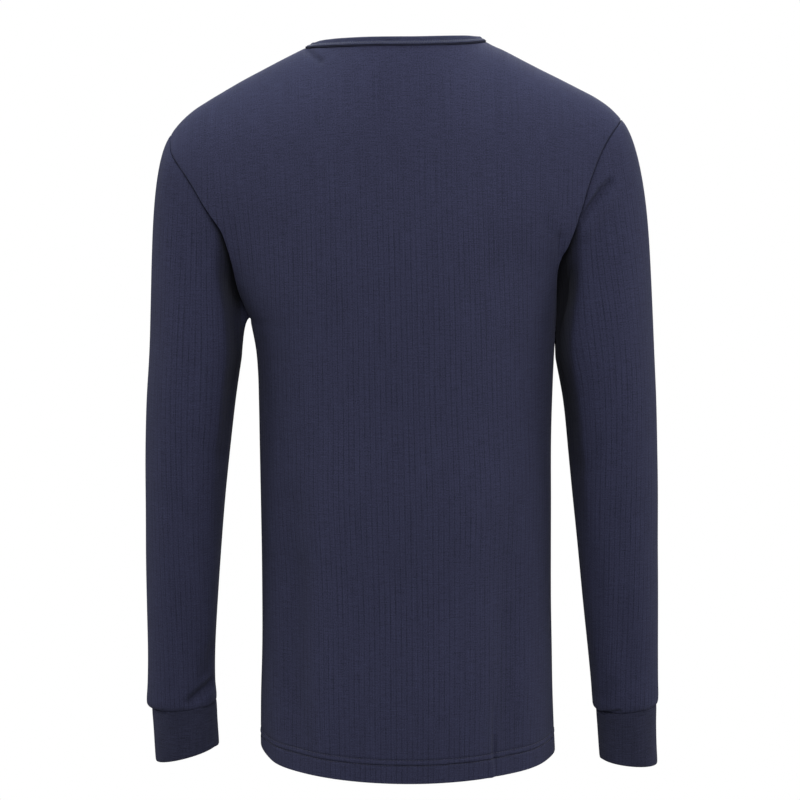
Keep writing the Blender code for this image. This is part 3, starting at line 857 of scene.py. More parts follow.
def body_grain(face, normals):
    """Direction of the knit's lines on a body panel: upright, and over the shoulder."""
    over = np.cross([1.0, 0.0, 0.0], normals) * FACES[face]
    up = np.array([0.0, 0.0, 1.0]) - normals * normals[..., 2:3]
    weight = eased(np.linalg.norm(over, axis=-1, keepdims=True), *OVER_SHOULDER)
    return units(units(over) * weight + units(up) * (1 - weight))


def arm_grain(side, normals):
    """Direction of the knit's lines on a sleeve: down the arm, and out over the shoulder."""
    down = ARM_WAY[side] - normals * dots(normals, ARM_WAY[side])
    out = np.cross([0.0, 1.0, 0.0], normals) * SIDES[side]
    weight = eased(np.linalg.norm(down, axis=-1, keepdims=True), *DOWN_ARM)
    return units(units(down) * weight + units(out) * (1 - weight))


# %% [markdown]
# On a curved form no flat cut fits exactly, so each point's place in it is settled by small
# corrections. A first guess measures along every row of the grid. Then the places are moved, a
# little at a time, until one unit of cut is one unit of cloth everywhere, as nearly as can be, and
# the lines follow the grain. That is a least squares problem, and conjugate gradients solve it.


# %% The flat cut
SETTLE_ROUNDS = 240
# How much more it counts that the knit's lines run with the grain than that lengths are kept
LINE_STIFFNESS = 12.0


def cell_steps(values):
    """Mean steps of a grid's cells across the columns and along the rows."""
    across = (values[:-1, 1:] - values[:-1, :-1] + values[1:, 1:] - values[1:, :-1]) / 2
    along = (values[1:, :-1] - values[:-1, :-1] + values[1:, 1:] - values[:-1, 1:]) / 2
    return across, along


def to_corners(across, along):
    """Shares the cells' steps out to the corners of the grid."""
    shared = np.zeros((across.shape[0] + 1, across.shape[1] + 1))
    shared[:-1, :-1] -= across + along
    shared[:-1, 1:] += across - along
    shared[1:, :-1] += along - across
    shared[1:, 1:] += across + along
    return shared / 2


def settle(start, slopes, weights, wanted):
    """Moves the values of a grid until their slopes over each cell are nearly the wanted ones."""
    (a, b), (c, d) = slopes

    def pull(values, wanted=(0.0, 0.0)):
        """How hard each value is pulled by the cells whose slopes are not the wanted ones."""
        across, along = cell_steps(values)
        first = (a * across + b * along - wanted[0]) * weights[0]
        second = (c * across + d * along - wanted[1]) * weights[1]
        return to_corners(a * first + c * second, b * first + d * second)

    values = start.copy()
    rest = -pull(values, wanted)
    move = rest.copy()
    size = np.sum(rest**2)
    for _ in range(SETTLE_ROUNDS):
        pulled = pull(move)
        step = size / np.sum(move * pulled)
        values += step * move
        rest -= step * pulled
        size, last = np.sum(rest**2), size
        move = rest + size / last * move
    return values


def cut_places(grid, normals, grain, start):
    """Place in the flat cut of each point: across and along the grain from a start column."""
    steps = np.diff(grid, axis=1)
    way = units(grain[:, 1:] + grain[:, :-1])
    side = np.cross(way, units(normals[:, 1:] + normals[:, :-1]))
    moves = np.concatenate([dots(steps, side), dots(steps, way)], axis=-1)
    cut = np.concatenate([np.zeros_like(moves[:, :1]), np.cumsum(moves, axis=1)], axis=1)
    cut -= cut[:, start:start + 1]
    down = np.diff(grid[:, start], axis=0)
    cut[1:, :, 1] += np.cumsum(dots(down, units(grain[1:, start] + grain[:-1, start])), axis=0)

    def over_cell(vectors):
        return vectors[:-1, :-1] + vectors[1:, :-1] + vectors[:-1, 1:] + vectors[1:, 1:]

    across, along = (np.stack(parts, axis=-1) for parts in
                     zip(*(cell_steps(grid[..., k]) for k in range(3))))
    face = units(over_cell(normals))
    way = over_cell(grain)
    way = units(way - face * dots(way, face))
    side = np.cross(way, face)
    turned = [[dots(edge, to)[..., 0] for to in (side, way)] for edge in (across, along)]
    (p, q), (r, s) = turned
    area = p * s - q * r
    slopes = ((s / area, -q / area), (-r / area, p / area))
    area = np.abs(area) / np.abs(area).mean()
    cut[..., 0] = settle(cut[..., 0], slopes, (area, area * LINE_STIFFNESS), (1.0, 0.0))
    cut[..., 1] = settle(cut[..., 1], slopes, (area, area), (0.0, 1.0))
    return cut


# %% Rolled seams
# How a cloth edge turns under at a seam, from its hidden end up to the skin
ROLL = table("inset_mm drop_mm", [
    (0.15, 3.6),
    (0.15, 1.5),
    (0.45, 0.75),
    (1.00, 0.24),
    (1.70, 0.05),
])
# A roll takes in no more than this share of the first row, and is turned under at this drop
ROLL_REACH = 0.9
ROLL_TURN = 0.0015
# A point that has sunk this far gets the full painted shade of a fold
DEEP_FOLD = 0.012
# What a grid of cloth holds at each point, and where; its painted shade darkens the colour where shade
# falls
PLACE, NORMAL, CUT = slice(0, 3), slice(3, 6), slice(6, 8)
ACROSS, ALONG, DROP, SEAM, SUNK, PAINTED_SHADE = range(6, 12)


def cloth_grid(places, normals, cut):
    """A grid of cloth; how it turns and folds under, and its painted shade, start at nothing."""
    return np.concatenate([places, normals, cut, np.zeros((*cut.shape[:-1], 4))], axis=-1)


def roll_under(cloth, share=1.0):
    """Rolls the first row of a cloth grid under, by a share of the roll's full depth."""
    edge, inner = cloth[0], cloth[1]
    reach = np.linalg.norm(inner[:, PLACE] - edge[:, PLACE], axis=1, keepdims=True)
    rows = []
    for inset, drop in zip(ROLL["inset"], ROLL["drop"]):
        row = edge + (inner - edge) * np.minimum(inset / reach, ROLL_REACH)
        depth = drop * share
        row[:, DROP] = np.maximum(edge[:, DROP], depth)
        sunk = min(depth / ROLL_TURN, 1.0) * edge[:, SEAM]
        row[:, SUNK] = np.maximum(edge[:, SUNK], sunk)
        # painted shade: a rolled edge is darkened as far as its seam has sunk into the underarm fold
        row[:, PAINTED_SHADE] = np.maximum(edge[:, PAINTED_SHADE], np.minimum(sunk / DEEP_FOLD, 1.0))
        rows.append(row)
    return np.concatenate([rows, cloth[1:]])


def roll_edges(cloth, first_row=1.0, last_row=1.0):
    """Rolls both sides of a cloth grid under, and each end by its share of the roll, or not at 0."""
    if first_row:
        cloth = roll_under(cloth, first_row)
    if last_row:
        cloth = roll_under(cloth[::-1], last_row)[::-1]
    cloth = roll_under(cloth.swapaxes(0, 1))
    return roll_under(cloth[::-1])[::-1].swapaxes(0, 1)


# %% From a grid of cloth to a piece
CLOTH_THICKNESS = 0.0010
SMOOTH_ANGLE = math.radians(70)
JOIN_DISTANCE = 0.00001
cloths = {}
panels = {}


def select_only(piece):
    """Selects a piece and nothing else."""
    bpy.ops.object.select_all(action="DESELECT")
    piece.select_set(True)
    bpy.context.view_layer.objects.active = piece


def edit_whole(operation, **settings):
    """Does an operation on the whole mesh of the active piece, in edit mode."""
    bpy.ops.object.mode_set(mode="EDIT")
    bpy.ops.mesh.select_all(action="SELECT")
    operation(**settings)
    bpy.ops.object.mode_set(mode="OBJECT")


def apply_modifier(piece, kind, **settings):
    """Adds a modifier with its settings and applies it."""
    select_only(piece)
    bpy.ops.object.modifier_add(type=kind)
    modifier = piece.modifiers[-1]
    for name, value in settings.items():
        setattr(modifier, name, value)
    bpy.ops.object.modifier_apply(modifier=modifier.name)


def sheet_from(name, cloth):
    """A grid primitive with a vertex for each point of the cloth, laid on it, with its cut as UV."""
    rows, columns = cloth.shape[:2]
    bpy.ops.object.select_all(action="DESELECT")
    bpy.ops.mesh.primitive_grid_add(x_subdivisions=columns - 1, y_subdivisions=rows - 1, size=1)
    piece = bpy.context.object
    piece.name = piece.data.name = name
    places = cloth[..., PLACE] - cloth[..., NORMAL] * cloth[..., DROP:DROP + 1]
    places[..., 1] -= np.sign(places[..., 1]) * cloth[..., SUNK]
    piece.data.vertices.foreach_set("co", places.ravel())
    # the fold attribute holds painted shade, which darkens the finish's colour later
    shade = piece.data.attributes.new("fold", "FLOAT", "POINT")
    shade.data.foreach_set("value", cloth[..., PAINTED_SHADE].ravel())
    corners = np.empty(len(piece.data.loops), dtype=np.int32)
    piece.data.loops.foreach_get("vertex_index", corners)
    piece.data.uv_layers[0].name = "cut"
    piece.data.uv_layers["cut"].data.foreach_set("uv", cloth[..., CUT].reshape(-1, 2)[corners].ravel())
    piece.data.update()
    return piece


def close_ring(piece):
    """Joins the first and last column of a sheet that meets itself."""
    select_only(piece)
    edit_whole(bpy.ops.mesh.remove_doubles, threshold=JOIN_DISTANCE)


def cloth_area(cloth):
    """Area of a cloth grid's skin in square metres."""
    grid = cloth[..., PLACE]
    a, b = grid[1:, 1:] - grid[:-1, :-1], grid[1:, :-1] - grid[:-1, 1:]
    return float(np.linalg.norm(np.cross(a, b), axis=-1).sum() / 2)


def sew(name, cloth, rolled, thickness=CLOTH_THICKNESS, ring=False):
    """A piece of cloth: its sheet, given its thickness on the inner side and shaded smooth."""
    piece = sheet_from(f"cloth_{name}", rolled)
    if ring:
        close_ring(piece)
    apply_modifier(piece, "SOLIDIFY", thickness=thickness, offset=-1.0)
    bpy.ops.object.shade_smooth_by_angle(angle=SMOOTH_ANGLE)
    cloths[name], panels[name] = cloth, piece
    width, length = np.ptp(cloth[..., CUT].reshape(-1, 2), axis=0).round(3)
    print(f"{name}: the cut spans {width} x {length} m, {cloth_area(cloth):.4f} square metres,",
          len(piece.data.polygons) * 2, "triangles")


# %% [markdown]
# ## Back and front
# A body panel is one sheet from the inside of its hem to its shoulder seams. The hem is turned up
# inside and held by two rows of stitches, which press two grooves into the cloth with a soft ridge
# between them. So the grid starts at the inner ply, goes round the fold at the bottom edge, and
# climbs the outside.

# %% Hem section
# The fold and the inner ply, from its top down and round to the outside: rise above the bottom edge
# and how far the cloth stands out from the skin
HEM_INNER = table("rise_mm out_mm", [
    (27.0, -2.3),
    (20.0, -2.2),
    (12.0, -2.2),
    (5.0, -2.2),
    (1.10, -2.20),
    (0.55, -2.05),
    (0.15, -1.65),
    (0.00, -1.10),
    (0.15, -0.55),
    (0.55, -0.15),
])
# The outside, with the two grooves of the stitches and the ridge between them
HEM_OUTER = table("rise_mm out_mm", [
    (1.1, 0.00),
    (2.5, 0.02),
    (5.0, 0.05),
    (8.0, 0.08),
    (11.0, 0.10),
    (13.5, 0.12),
    (15.5, 0.12),
    (16.6, 0.05),
    (17.4, -0.20),
    (18.0, -0.52),
    (18.4, -0.62),
    (18.8, -0.50),
    (19.4, -0.05),
    (20.3, 0.38),
    (21.2, 0.48),
    (22.1, 0.36),
    (23.0, 0.02),
    (23.6, -0.28),
    (24.0, -0.36),
    (24.4, -0.30),
    (25.2, -0.12),
    (26.4, -0.02),
    (28.5, 0.0),
])
PANEL_COLUMNS = 180
BODY_ROWS = 104
YOKE_ROWS = 72


# %% Panel grids
def panel_columns(face):
    """Columns run from the wearer's left at the back, and from the right at the front."""
    return np.linspace(1.0, -1.0, PANEL_COLUMNS + 1) * FACES[face]


def panel_places():
    """Places of a panel's rows: the hem, the body and the yoke above the chest."""
    hem = HEM_HEIGHT + HEM_OUTER["rise"]
    body = np.linspace(hem[-1], CHEST_HEIGHT, BODY_ROWS + 1)[1:-1]
    return np.concatenate([hem, body, np.linspace(0.0, 1.0, YOKE_ROWS + 1)])


skins = {face: panel_skin(face, panel_columns(face), panel_places()) for face in FACES}

# %% Sleeve and cuff grids
AROUND = np.linspace(0.0, 2.0, 2 * YOKE_ROWS + 1)
CAP_RINGS = 40
ARM_RINGS = 96
END_RINGS = 24
CUFF_RINGS = 26
CUFF_END = 4.45
CAP_CROWDING = 1.35
ARM_END = 8.0


def sleeve_rings(side):
    """Rings of a sleeve, closer together at the armhole and where it bulges over the cuff."""
    cap = np.linspace(0.0, 1.0, CAP_RINGS + 1)[:-1] ** CAP_CROWDING
    arm = np.linspace(1.0, ARM_END, ARM_RINGS)
    end = np.linspace(ARM_END, len(SLEEVE[side]["depth"]), END_RINGS + 1)[1:]
    return np.concatenate([cap, arm, end])


for side, sign in SIDES.items():
    turn = round(sign)  # the right columns run the other way, so that all faces look outward
    cuff_rings = np.linspace(0, CUFF_END, CUFF_RINGS + 1)
    skins[f"sleeve_{side}"] = sleeve_skin(side, sleeve_rings(side), AROUND)[:, ::turn]
    skins[f"cuff_{side}"] = tube_skin(CUFF[side], cuff_rings[:, None], AROUND[None, :])[:, ::turn]

skin_out = {name: skin_normals(grid) for name, grid in skins.items()}
agree_at_seams(skins, skin_out)
folds = {side: fold_in(side, skins[f"sleeve_{side}"], AROUND) for side in SIDES}
# painted shade of the creases, kept for each grid
painted_crease_shades = {}
for name, grid in skins.items():
    out, painted_crease_shades[name] = creased(grid, skin_out[name])
    grid += skin_out[name] * (out + unevenness(grid, skin_out[name]))[..., None]
print("grids:", {name: grid.shape[:2] for name, grid in skins.items()})


# %% Sew the body panels
# Painted shade in the hem's stitch grooves: a groove this deep gets the full painted shade of a fold
GROOVE_SHADE = 0.0050


def with_hem(skin, normals, cut):
    """Adds the hem's relief to a panel's skin, with painted shade in its grooves, and the fold and inner
    ply below it.
    """
    relief = np.zeros(len(skin))
    relief[:len(HEM_OUTER["out"])] = HEM_OUTER["out"]
    outside = cloth_grid(skin + normals * relief[:, None, None], normals, cut)
    # painted shade in the stitch grooves
    outside[..., PAINTED_SHADE] = np.clip(-relief[:, None] / GROOVE_SHADE, 0, 1)
    first_rise = HEM_OUTER["rise"][0]
    bottom = skin[0] - units(skin[1] - skin[0]) * first_rise
    nearest = np.searchsorted(HEM_OUTER["rise"], HEM_INNER["rise"])
    inner = []
    for rise, out, row in zip(HEM_INNER["rise"], HEM_INNER["out"], nearest):
        base = skin[row] if row else bottom + (skin[0] - bottom) * rise / first_rise
        turned_up = cut[0] - np.array([0.0, rise])
        inner.append(cloth_grid(base + normals[0] * out, normals[0], turned_up))
    return np.concatenate([inner, outside])


for face in FACES:
    cut = cut_places(skins[face], skin_out[face], body_grain(face, skin_out[face]), PANEL_COLUMNS // 2)
    cloth = with_hem(skins[face], skin_out[face], cut)
    outside = cloth[len(HEM_INNER["rise"]):]
    # painted shade of the creases darkens the panel's outside
    outside[..., PAINTED_SHADE] += painted_crease_shades[face]
    for side, sign in SIDES.items():
        half = panel_columns(face) * sign > 0
        outside[:, half, SEAM] = seam_depth(side, face, panel_places())[:, None]
    sew(face, cloth, roll_edges(cloth, first_row=0))

# %% [markdown]
# ## Sleeves and cuffs
# A sleeve is one sheet whose two long edges meet in the underarm seam. A cuff is a strip of rib,
# closed at the same seam and folded double, so its grid runs down the outside, round the fold and
# up again inside.

# %% Sew the sleeves
# Share of the roll at the seam between sleeve and cuff
CUFF_SEAM = 0.3
# Painted shade on a sleeve's flank against the body, from the cap's rings down the arm
PAINTED_FLANK_SHADE = table("ring left right", [
    (0.0, 0.0, 0.0),
    (0.5, 0.5, 0.9),
    (1.0, 0.8, 1.0),
    (2.0, 0.6, 0.9),
    (3.5, 0.2, 0.5),
    (5.0, 0.0, 0.0),
    (20.0, 0.0, 0.0),
])
# How squarely a point looks inward where the flank's painted shade starts, and where it is full
FLANK_EDGE = (0.68, 0.92)


def painted_flank_shade(side):
    """Painted shade of a sleeve's points on the flank that the body hides from the light."""
    inward = np.clip(np.cos(math.pi * AROUND), 0, 1)
    by_ring = smooth(PAINTED_FLANK_SHADE, side, sleeve_rings(side), by="ring")
    return np.clip(by_ring, 0, 1)[:, None] * eased(inward, *FLANK_EDGE)


def tube_cloth(name, side):
    """A tube's grid of cloth; its cut is measured from the middle of its outer side."""
    cut = cut_places(skins[name], skin_out[name], arm_grain(side, skin_out[name]), YOKE_ROWS)
    return cloth_grid(skins[name], skin_out[name], cut)


for side in SIDES:
    name = f"sleeve_{side}"
    cloth = tube_cloth(name, side)
    # painted shade of the sleeve: the sink of the underarm fold, its creases and the flank that the body
    # hides from the light darken its colour
    cloth[..., PAINTED_SHADE] = np.minimum(folds[side] / DEEP_FOLD + painted_crease_shades[name] + painted_flank_shade(side), 1.0)
    sew(name, cloth, roll_edges(cloth, last_row=CUFF_SEAM))

# %% Sew the cuffs
CUFF_FOLD = 0.0013
RIB_THICKNESS = 0.0011
FOLD_STEPS = 8


def doubled(cloth, radius):
    """Folds a cuff's cloth up inside at its lower edge, round a fold of a radius."""
    bottom, above = cloth[-1], cloth[-3]
    up = units(above[:, PLACE] - bottom[:, PLACE])
    rows = []
    for turn in np.linspace(0, math.pi, FOLD_STEPS + 1)[1:]:
        row = bottom.copy()
        row[:, PLACE] += -up * radius * math.sin(turn) - row[:, NORMAL] * radius * (1 - math.cos(turn))
        row[:, CUT] += np.array([0.0, radius * turn])
        rows.append(row)
    inner = cloth[-2:1:-1].copy()
    inner[..., PLACE] -= inner[..., NORMAL] * 2 * radius
    inner[..., ALONG] = 2 * bottom[:, ALONG] - inner[..., ALONG] + radius * math.pi
    return np.concatenate([cloth, rows, inner])


for side in SIDES:
    cloth = doubled(tube_cloth(f"cuff_{side}", side), CUFF_FOLD)
    sew(f"cuff_{side}", cloth, roll_edges(cloth, CUFF_SEAM, 0), RIB_THICKNESS)

# %% [markdown]
# ## Neck binding
# The neckline is bound with a strip of rib folded over its edge. Its section, from the outer lower
# edge over the fold to the inner lower edge, is a table, and it is carried round the neckline. The
# lower edge stands a little proud of the panel, and with painted shade on its foot it draws the thin
# dark line under the binding.

# %% Binding section
BAND_HEIGHT = 0.0098
BAND_LEAN = 0.15
BAND_SECTION = table("rise out_mm", [
    (-0.03, 0.45),
    (-0.06, 0.80),
    (0.00, 1.14),
    (0.12, 1.25),
    (0.28, 1.18),
    (0.42, 0.92),
    (0.50, 0.84),
    (0.60, 0.95),
    (0.74, 1.08),
    (0.86, 0.85),
    (0.95, 0.25),
    (1.00, -0.75),
    (0.97, -1.75),
    (0.88, -2.45),
    (0.70, -2.75),
    (0.40, -2.70),
    (0.10, -2.55),
    (-0.04, -2.40),
])
BAND_SECTION["step"] = np.arange(len(BAND_SECTION["rise"]), dtype=float)
BAND_ROWS = 2
BAND_THICKNESS = 0.0009
# The binding is a little lower where it passes the right shoulder: where, how far and how much
BAND_DIP = {"x": -0.078, "reach": 0.016, "share": 0.15}
# Its foot gets painted shade for the shade of the seam, up to this share of its height
BAND_FOOT = 0.09
BAND_FOOT_SHADE = 0.5


# %% Carry the section round the neck
def neck_line():
    """Points and normals of the neckline all round, from the left shoulder over the back."""
    first = round(PANEL_COLUMNS * (1 - NECK_SHARE) / 2)
    last = PANEL_COLUMNS - first
    ring = [skins["back"][-1, first:last + 1], skins["front"][-1, first + 1:last]]
    outs = [skin_out["back"][-1, first:last + 1], skin_out["front"][-1, first + 1:last]]
    return np.concatenate(ring), np.concatenate(outs)


def band_cloth():
    """The binding's cloth: its section, turned to stand on the neckline at each point of it."""
    line, outs = neck_line()
    alongs = units(np.roll(line, -1, axis=0) - np.roll(line, 1, axis=0))
    leaves = units(np.cross(outs, alongs))
    inward = (np.array([NECK_MIDDLE, 0.0, 0.0]) - line) * np.array([1.0, 1.0, 0.0])
    leaves *= np.sign(dots(leaves, inward))
    edges = np.cross(outs, leaves)
    stands = units(leaves + np.array([0.0, 0.0, BAND_LEAN]))
    way = np.cumsum(np.linalg.norm(line - np.roll(line, 1, axis=0), axis=1))
    steps = np.linspace(0, BAND_SECTION["step"][-1], BAND_ROWS * len(BAND_SECTION["step"]))
    rises, stands_out = (smooth(BAND_SECTION, name, steps, by="step") for name in ("rise", "out"))
    strip = way_along(points(rises * BAND_HEIGHT, stands_out, 0.0))
    dip = BAND_DIP["share"] * np.exp(-((line[:, 0] - BAND_DIP["x"]) / BAND_DIP["reach"]) ** 2)
    tall = (BAND_HEIGHT * (1 - dip))[:, None]
    rows = []
    for share, out, across in zip(rises, stands_out, strip):
        toward = units(leaves * (1 - share) + stands * share)
        square = units(np.cross(toward, edges))
        square *= np.sign(dots(square, outs))
        places = line + toward * share * tall + square * out
        row = cloth_grid(places, square, np.stack([way, np.full_like(way, across)], axis=1))
        # painted shade on the binding's foot
        row[..., PAINTED_SHADE] = BAND_FOOT_SHADE * np.clip(1 - share / BAND_FOOT, 0, 1)
        rows.append(row)
    rows = np.array(rows)
    closed = np.concatenate([rows, rows[:, :1]], axis=1)
    closed[:, -1, ACROSS] = way[-1] + np.linalg.norm(line[0] - line[-1])
    return closed


band = band_cloth()
sew("neck_band", band, band, BAND_THICKNESS, ring=True)

# %% [markdown]
# ## Threads
# The hem's stitches are two rows of short threads, and the binding's a zigzag over its lower half.
# One thread is modelled, an Array modifier repeats it, and each copy is laid in its place.


# %% One thread, laid many times
STITCH_MARGIN = 0.002


def lay_threads(name, spots, ways, outs, thread):
    """A row of threads: each lies at a spot, along a way, lifted a little toward its normal."""
    bpy.ops.object.select_all(action="DESELECT")
    bpy.ops.mesh.primitive_uv_sphere_add(segments=6, ring_count=5, radius=0.5)
    piece = bpy.context.object
    piece.name = piece.data.name = name
    edit_whole(bpy.ops.transform.resize,
               value=(thread["thickness"], thread["thickness"], thread["length"]))
    one = np.array([v.co for v in piece.data.vertices])
    apply_modifier(piece, "ARRAY", count=len(spots), use_relative_offset=False,
                   use_constant_offset=True, constant_offset_displace=(0.0, 0.0, 0.0))
    ways = units(ways)
    sides = units(np.cross(ways, outs))
    axes = np.stack([sides, np.cross(sides, ways), ways], axis=1)
    laid = (spots + outs * thread["lift"])[:, None] + one @ axes
    piece.data.vertices.foreach_set("co", laid.ravel())
    piece.data.update()
    bpy.ops.object.shade_smooth()
    panels[name] = piece
    print(name, len(spots), "threads")


def read_at(way, values, at):
    """Values along a line, read at lengths of the way along it."""
    return points(*(np.interp(at, way, values[:, k]) for k in range(3)))


def even_spots(cloth_row, pitch):
    """Spots at an even pitch along a row of cloth, the way there and the normals."""
    line = cloth_row[:, PLACE]
    way = way_along(line)
    at = np.arange(STITCH_MARGIN, way[-1] - STITCH_MARGIN, pitch)
    spots = read_at(way, line, at)
    return spots, read_at(way, line, at + pitch / 2) - spots, units(read_at(way, cloth_row[:, NORMAL], at))


# %% Hem stitches
HEM_STITCH_RISES = (0.0184, 0.0240)
HEM_STITCH_PITCH = 0.0031
HEM_THREAD = {"length": 0.0025, "thickness": 0.00042, "lift": 0.00006}

for face in FACES:
    rows = [len(HEM_INNER["rise"]) + int(np.argmin(np.abs(HEM_OUTER["rise"] - rise)))
            for rise in HEM_STITCH_RISES]
    made = [even_spots(cloths[face][row], HEM_STITCH_PITCH) for row in rows]
    lay_threads(f"hem_stitches_{face}", *(np.concatenate(part) for part in zip(*made)), HEM_THREAD)

# %% Binding stitches
NECK_STITCH_PITCH = 0.0013
ZIGZAG_RISES = (0.18, 0.48)
NECK_THREAD = {"length": 0.0031, "thickness": 0.00036, "lift": 0.00012}


def band_row(share):
    """Row of cloth on the outer leaf of the binding at a share of its height."""
    rows = cloths["neck_band"]
    climb = np.linalg.norm(rows[:, 0, PLACE] - rows[0, 0, PLACE], axis=1) / BAND_HEIGHT
    return rows[int(np.argmax(climb >= share))]


low, high = (band_row(share) for share in ZIGZAG_RISES)
low_spots, _, outs = even_spots(low, NECK_STITCH_PITCH)
way = way_along(high[:, PLACE])
high_spots = read_at(way, high[:, PLACE], np.linspace(0, 1, len(low_spots)) * way[-1])
on_low = np.arange(len(low_spots)) % 2 == 0
zigzag = np.where(on_low[:, None], low_spots, high_spots)
starts, ends = zigzag[:-1], zigzag[1:]
lay_threads("neck_stitches", (starts + ends) / 2, ends - starts, outs[:-1], NECK_THREAD)

# %% [markdown]
# ## The knit
# Seen close, the knit is rows of small loops. From a step away only two things show: the thin dark
# lines of the dropped needles, 5.3 mm apart and broken along their length, and a mottled, slightly
# hairy grain. Each is a node group that reads the flat cut, so the lines run straight down the
# cloth, stay the same width on every piece and are cut off at the seams as on the real one.


# %% A new node group
def new_group(name, inputs, outputs):
    """A shader node group: an input with a value is a number, and one with None is a vector."""
    group = bpy.data.node_groups.new(name, "ShaderNodeTree")
    for label, value in inputs.items():
        kind = "NodeSocketVector" if value is None else "NodeSocketFloat"
        made = group.interface.new_socket(label, in_out="INPUT", socket_type=kind)
        if value is not None:
            made.default_value = value
    for label in outputs:
        group.interface.new_socket(label, in_out="OUTPUT", socket_type="NodeSocketFloat")
    return group, group.nodes.new("NodeGroupInput").outputs, group.nodes.new("NodeGroupOutput").inputs


def stretched_noise(tree, cut, across, along, detail=2.0):
    """Noise on the flat cut with its own scale across and along the grain."""
    scaled = put(tree, "ShaderNodeVectorMath", {0: cut, 1: (across, along, 1.0)}, operation="MULTIPLY")
    return put(tree, "ShaderNodeTexNoise",
               {"Vector": scaled.outputs[0], "Scale": 1.0, "Detail": detail}).outputs["Fac"]


def ranged(tree, value, low, high, to_low=0.0, to_high=1.0, kind="SMOOTHSTEP"):
    """Maps a value from one range to another, clamped and with soft ends."""
    return put(tree, "ShaderNodeMapRange", {0: value, 1: low, 2: high, 3: to_low, 4: to_high},
               interpolation_type=kind).outputs[0]


# %% Dropped needle lines
def line_mask(tree, across, pitch, width, shift):
    """1 on lines at a pitch across the cut, 0 between them."""
    turns = calc(tree, "ADD", calc(tree, "DIVIDE", across, pitch), shift)
    from_middle = calc(tree, "ABSOLUTE", calc(tree, "SUBTRACT", calc(tree, "FRACT", turns), 0.5))
    away = calc(tree, "MULTIPLY", from_middle, pitch)
    edge = calc(tree, "SUBTRACT", 1.0, calc(tree, "DIVIDE", away, width))
    return calc(tree, "SMOOTH_MAX", edge, 0.0, 0.2)


# Noise that breaks the lines: how fast it changes across and along them, and how finely
BREAKS = (420.0, 45.0, 3.0)
# A line fades out and comes back between these values of the noise
BREAK_EDGES = (0.36, 0.58)
# Painted light: toward the shoulders the lines fade, as the top light fills their grooves; from and to
# height, strength there
TOP_LIT_FADE = (-0.20, -0.06, 1.0, 0.06)

needle_lines, start, end = new_group(
    "dropped_needle_lines",
    {"Cut": None, "Place": None, "Pitch": 0.0053, "Line Width": 0.0007, "Half Line": 0.25,
     "Evenness": 0.35}, ["Line"])
across = put(needle_lines, "ShaderNodeSeparateXYZ", {0: start["Cut"]}).outputs[0]
main_line = line_mask(needle_lines, across, start["Pitch"], start["Line Width"], 0.5)
half_line = line_mask(needle_lines, across, start["Pitch"], start["Line Width"], 0.0)
both = calc(needle_lines, "MULTIPLY_ADD", half_line, start["Half Line"], main_line)
broken = ranged(needle_lines, stretched_noise(needle_lines, start["Cut"], *BREAKS), *BREAK_EDGES)
kept = calc(needle_lines, "MAXIMUM", broken, start["Evenness"])
upright = put(needle_lines, "ShaderNodeSeparateXYZ", {0: start["Place"]}).outputs[2]
# painted light: the lines fade with height, for the light from above
top_lit_fade = ranged(needle_lines, upright, *TOP_LIT_FADE)
line = calc(needle_lines, "MULTIPLY", calc(needle_lines, "MULTIPLY", both, kept), top_lit_fade)
needle_lines.links.new(line, end["Line"])

# %% Loops and yarn
# How high the arches of the loops stand, beside the ridges that they form
LOOP_ARCH = 0.35

loops, start, end = new_group(
    "knit_loops", {"Cut": None, "Wale": 0.00088, "Course": 0.00066}, ["Height"])
cut = put(loops, "ShaderNodeSeparateXYZ", {0: start["Cut"]})
wale = calc(loops, "FRACT", calc(loops, "DIVIDE", cut.outputs[0], start["Wale"]))
slant = calc(loops, "ABSOLUTE", calc(loops, "SUBTRACT", wale, 0.5))
ridge = calc(loops, "SINE", calc(loops, "MULTIPLY", slant, 2 * math.pi))
course = calc(loops, "ADD", calc(loops, "DIVIDE", cut.outputs[1], start["Course"]), slant)
wave = calc(loops, "SINE", calc(loops, "MULTIPLY", course, 2 * math.pi))
arched = calc(loops, "MULTIPLY_ADD", wave, LOOP_ARCH, ridge)
loops.links.new(arched, end["Height"])

yarn, start, end = new_group(
    "mottled_yarn",
    {"Cut": None, "Fleck": 0.45, "Wale Streak": 0.35, "Course Streak": 0.2, "Cloud": 0.05},
    ["Shade", "Fuzz"])
# Each layer's noise: how fast it changes across and along the knit, and how finely
layers = {"Fleck": (900.0, 780.0, 2.0), "Wale Streak": (1000.0, 14.0, 1.0),
          "Course Streak": (70.0, 1000.0, 1.0), "Cloud": (38.0, 26.0, 3.0)}
shade = 1.0
for layer, scale in layers.items():
    noise = stretched_noise(yarn, start["Cut"], *scale)
    if layer == "Fleck":
        yarn.links.new(noise, end["Fuzz"])
    shade = calc(yarn, "MULTIPLY_ADD", calc(yarn, "SUBTRACT", noise, 0.5), start[layer], shade)
yarn.links.new(shade, end["Shade"])
print("node groups:", [group.name for group in bpy.data.node_groups])

# %% [markdown]
# ## Finishes
# Body and sleeves share one finish, the navy knit. Cuffs and binding are a finer rib, darker at the
# cuffs. The hem's threads are navy cotton and the binding's a paler one. All are matt: cotton
# scatters light in every direction, and its short hairs catch a little at the edges, which the sheen
# gives. The fold attribute of the cloth holds painted shade: it darkens the colour of the knitted
# ones where a fold, crease, seam or the body hides the light.


# %% Cloth finishes
# How far the painted shade darkens, and how far the bump sinks folds and raises loops and hairs
PAINTED_SHADE_DARK = 0.92
FOLD_BUMP = 8.0
LOOP_BUMP = 0.05
FUZZ_BUMP = 0.10
ROUGHNESS = 0.90
LINE_ROUGHER = 0.05
SHEEN_TINT = (0.62, 0.66, 0.90, 1.0)


def new_finish(name):
    """A new material, with its node tree and its shader."""
    material = bpy.data.materials.new(name)
    material.use_nodes = True
    return material, material.node_tree, material.node_tree.nodes["Principled BSDF"]


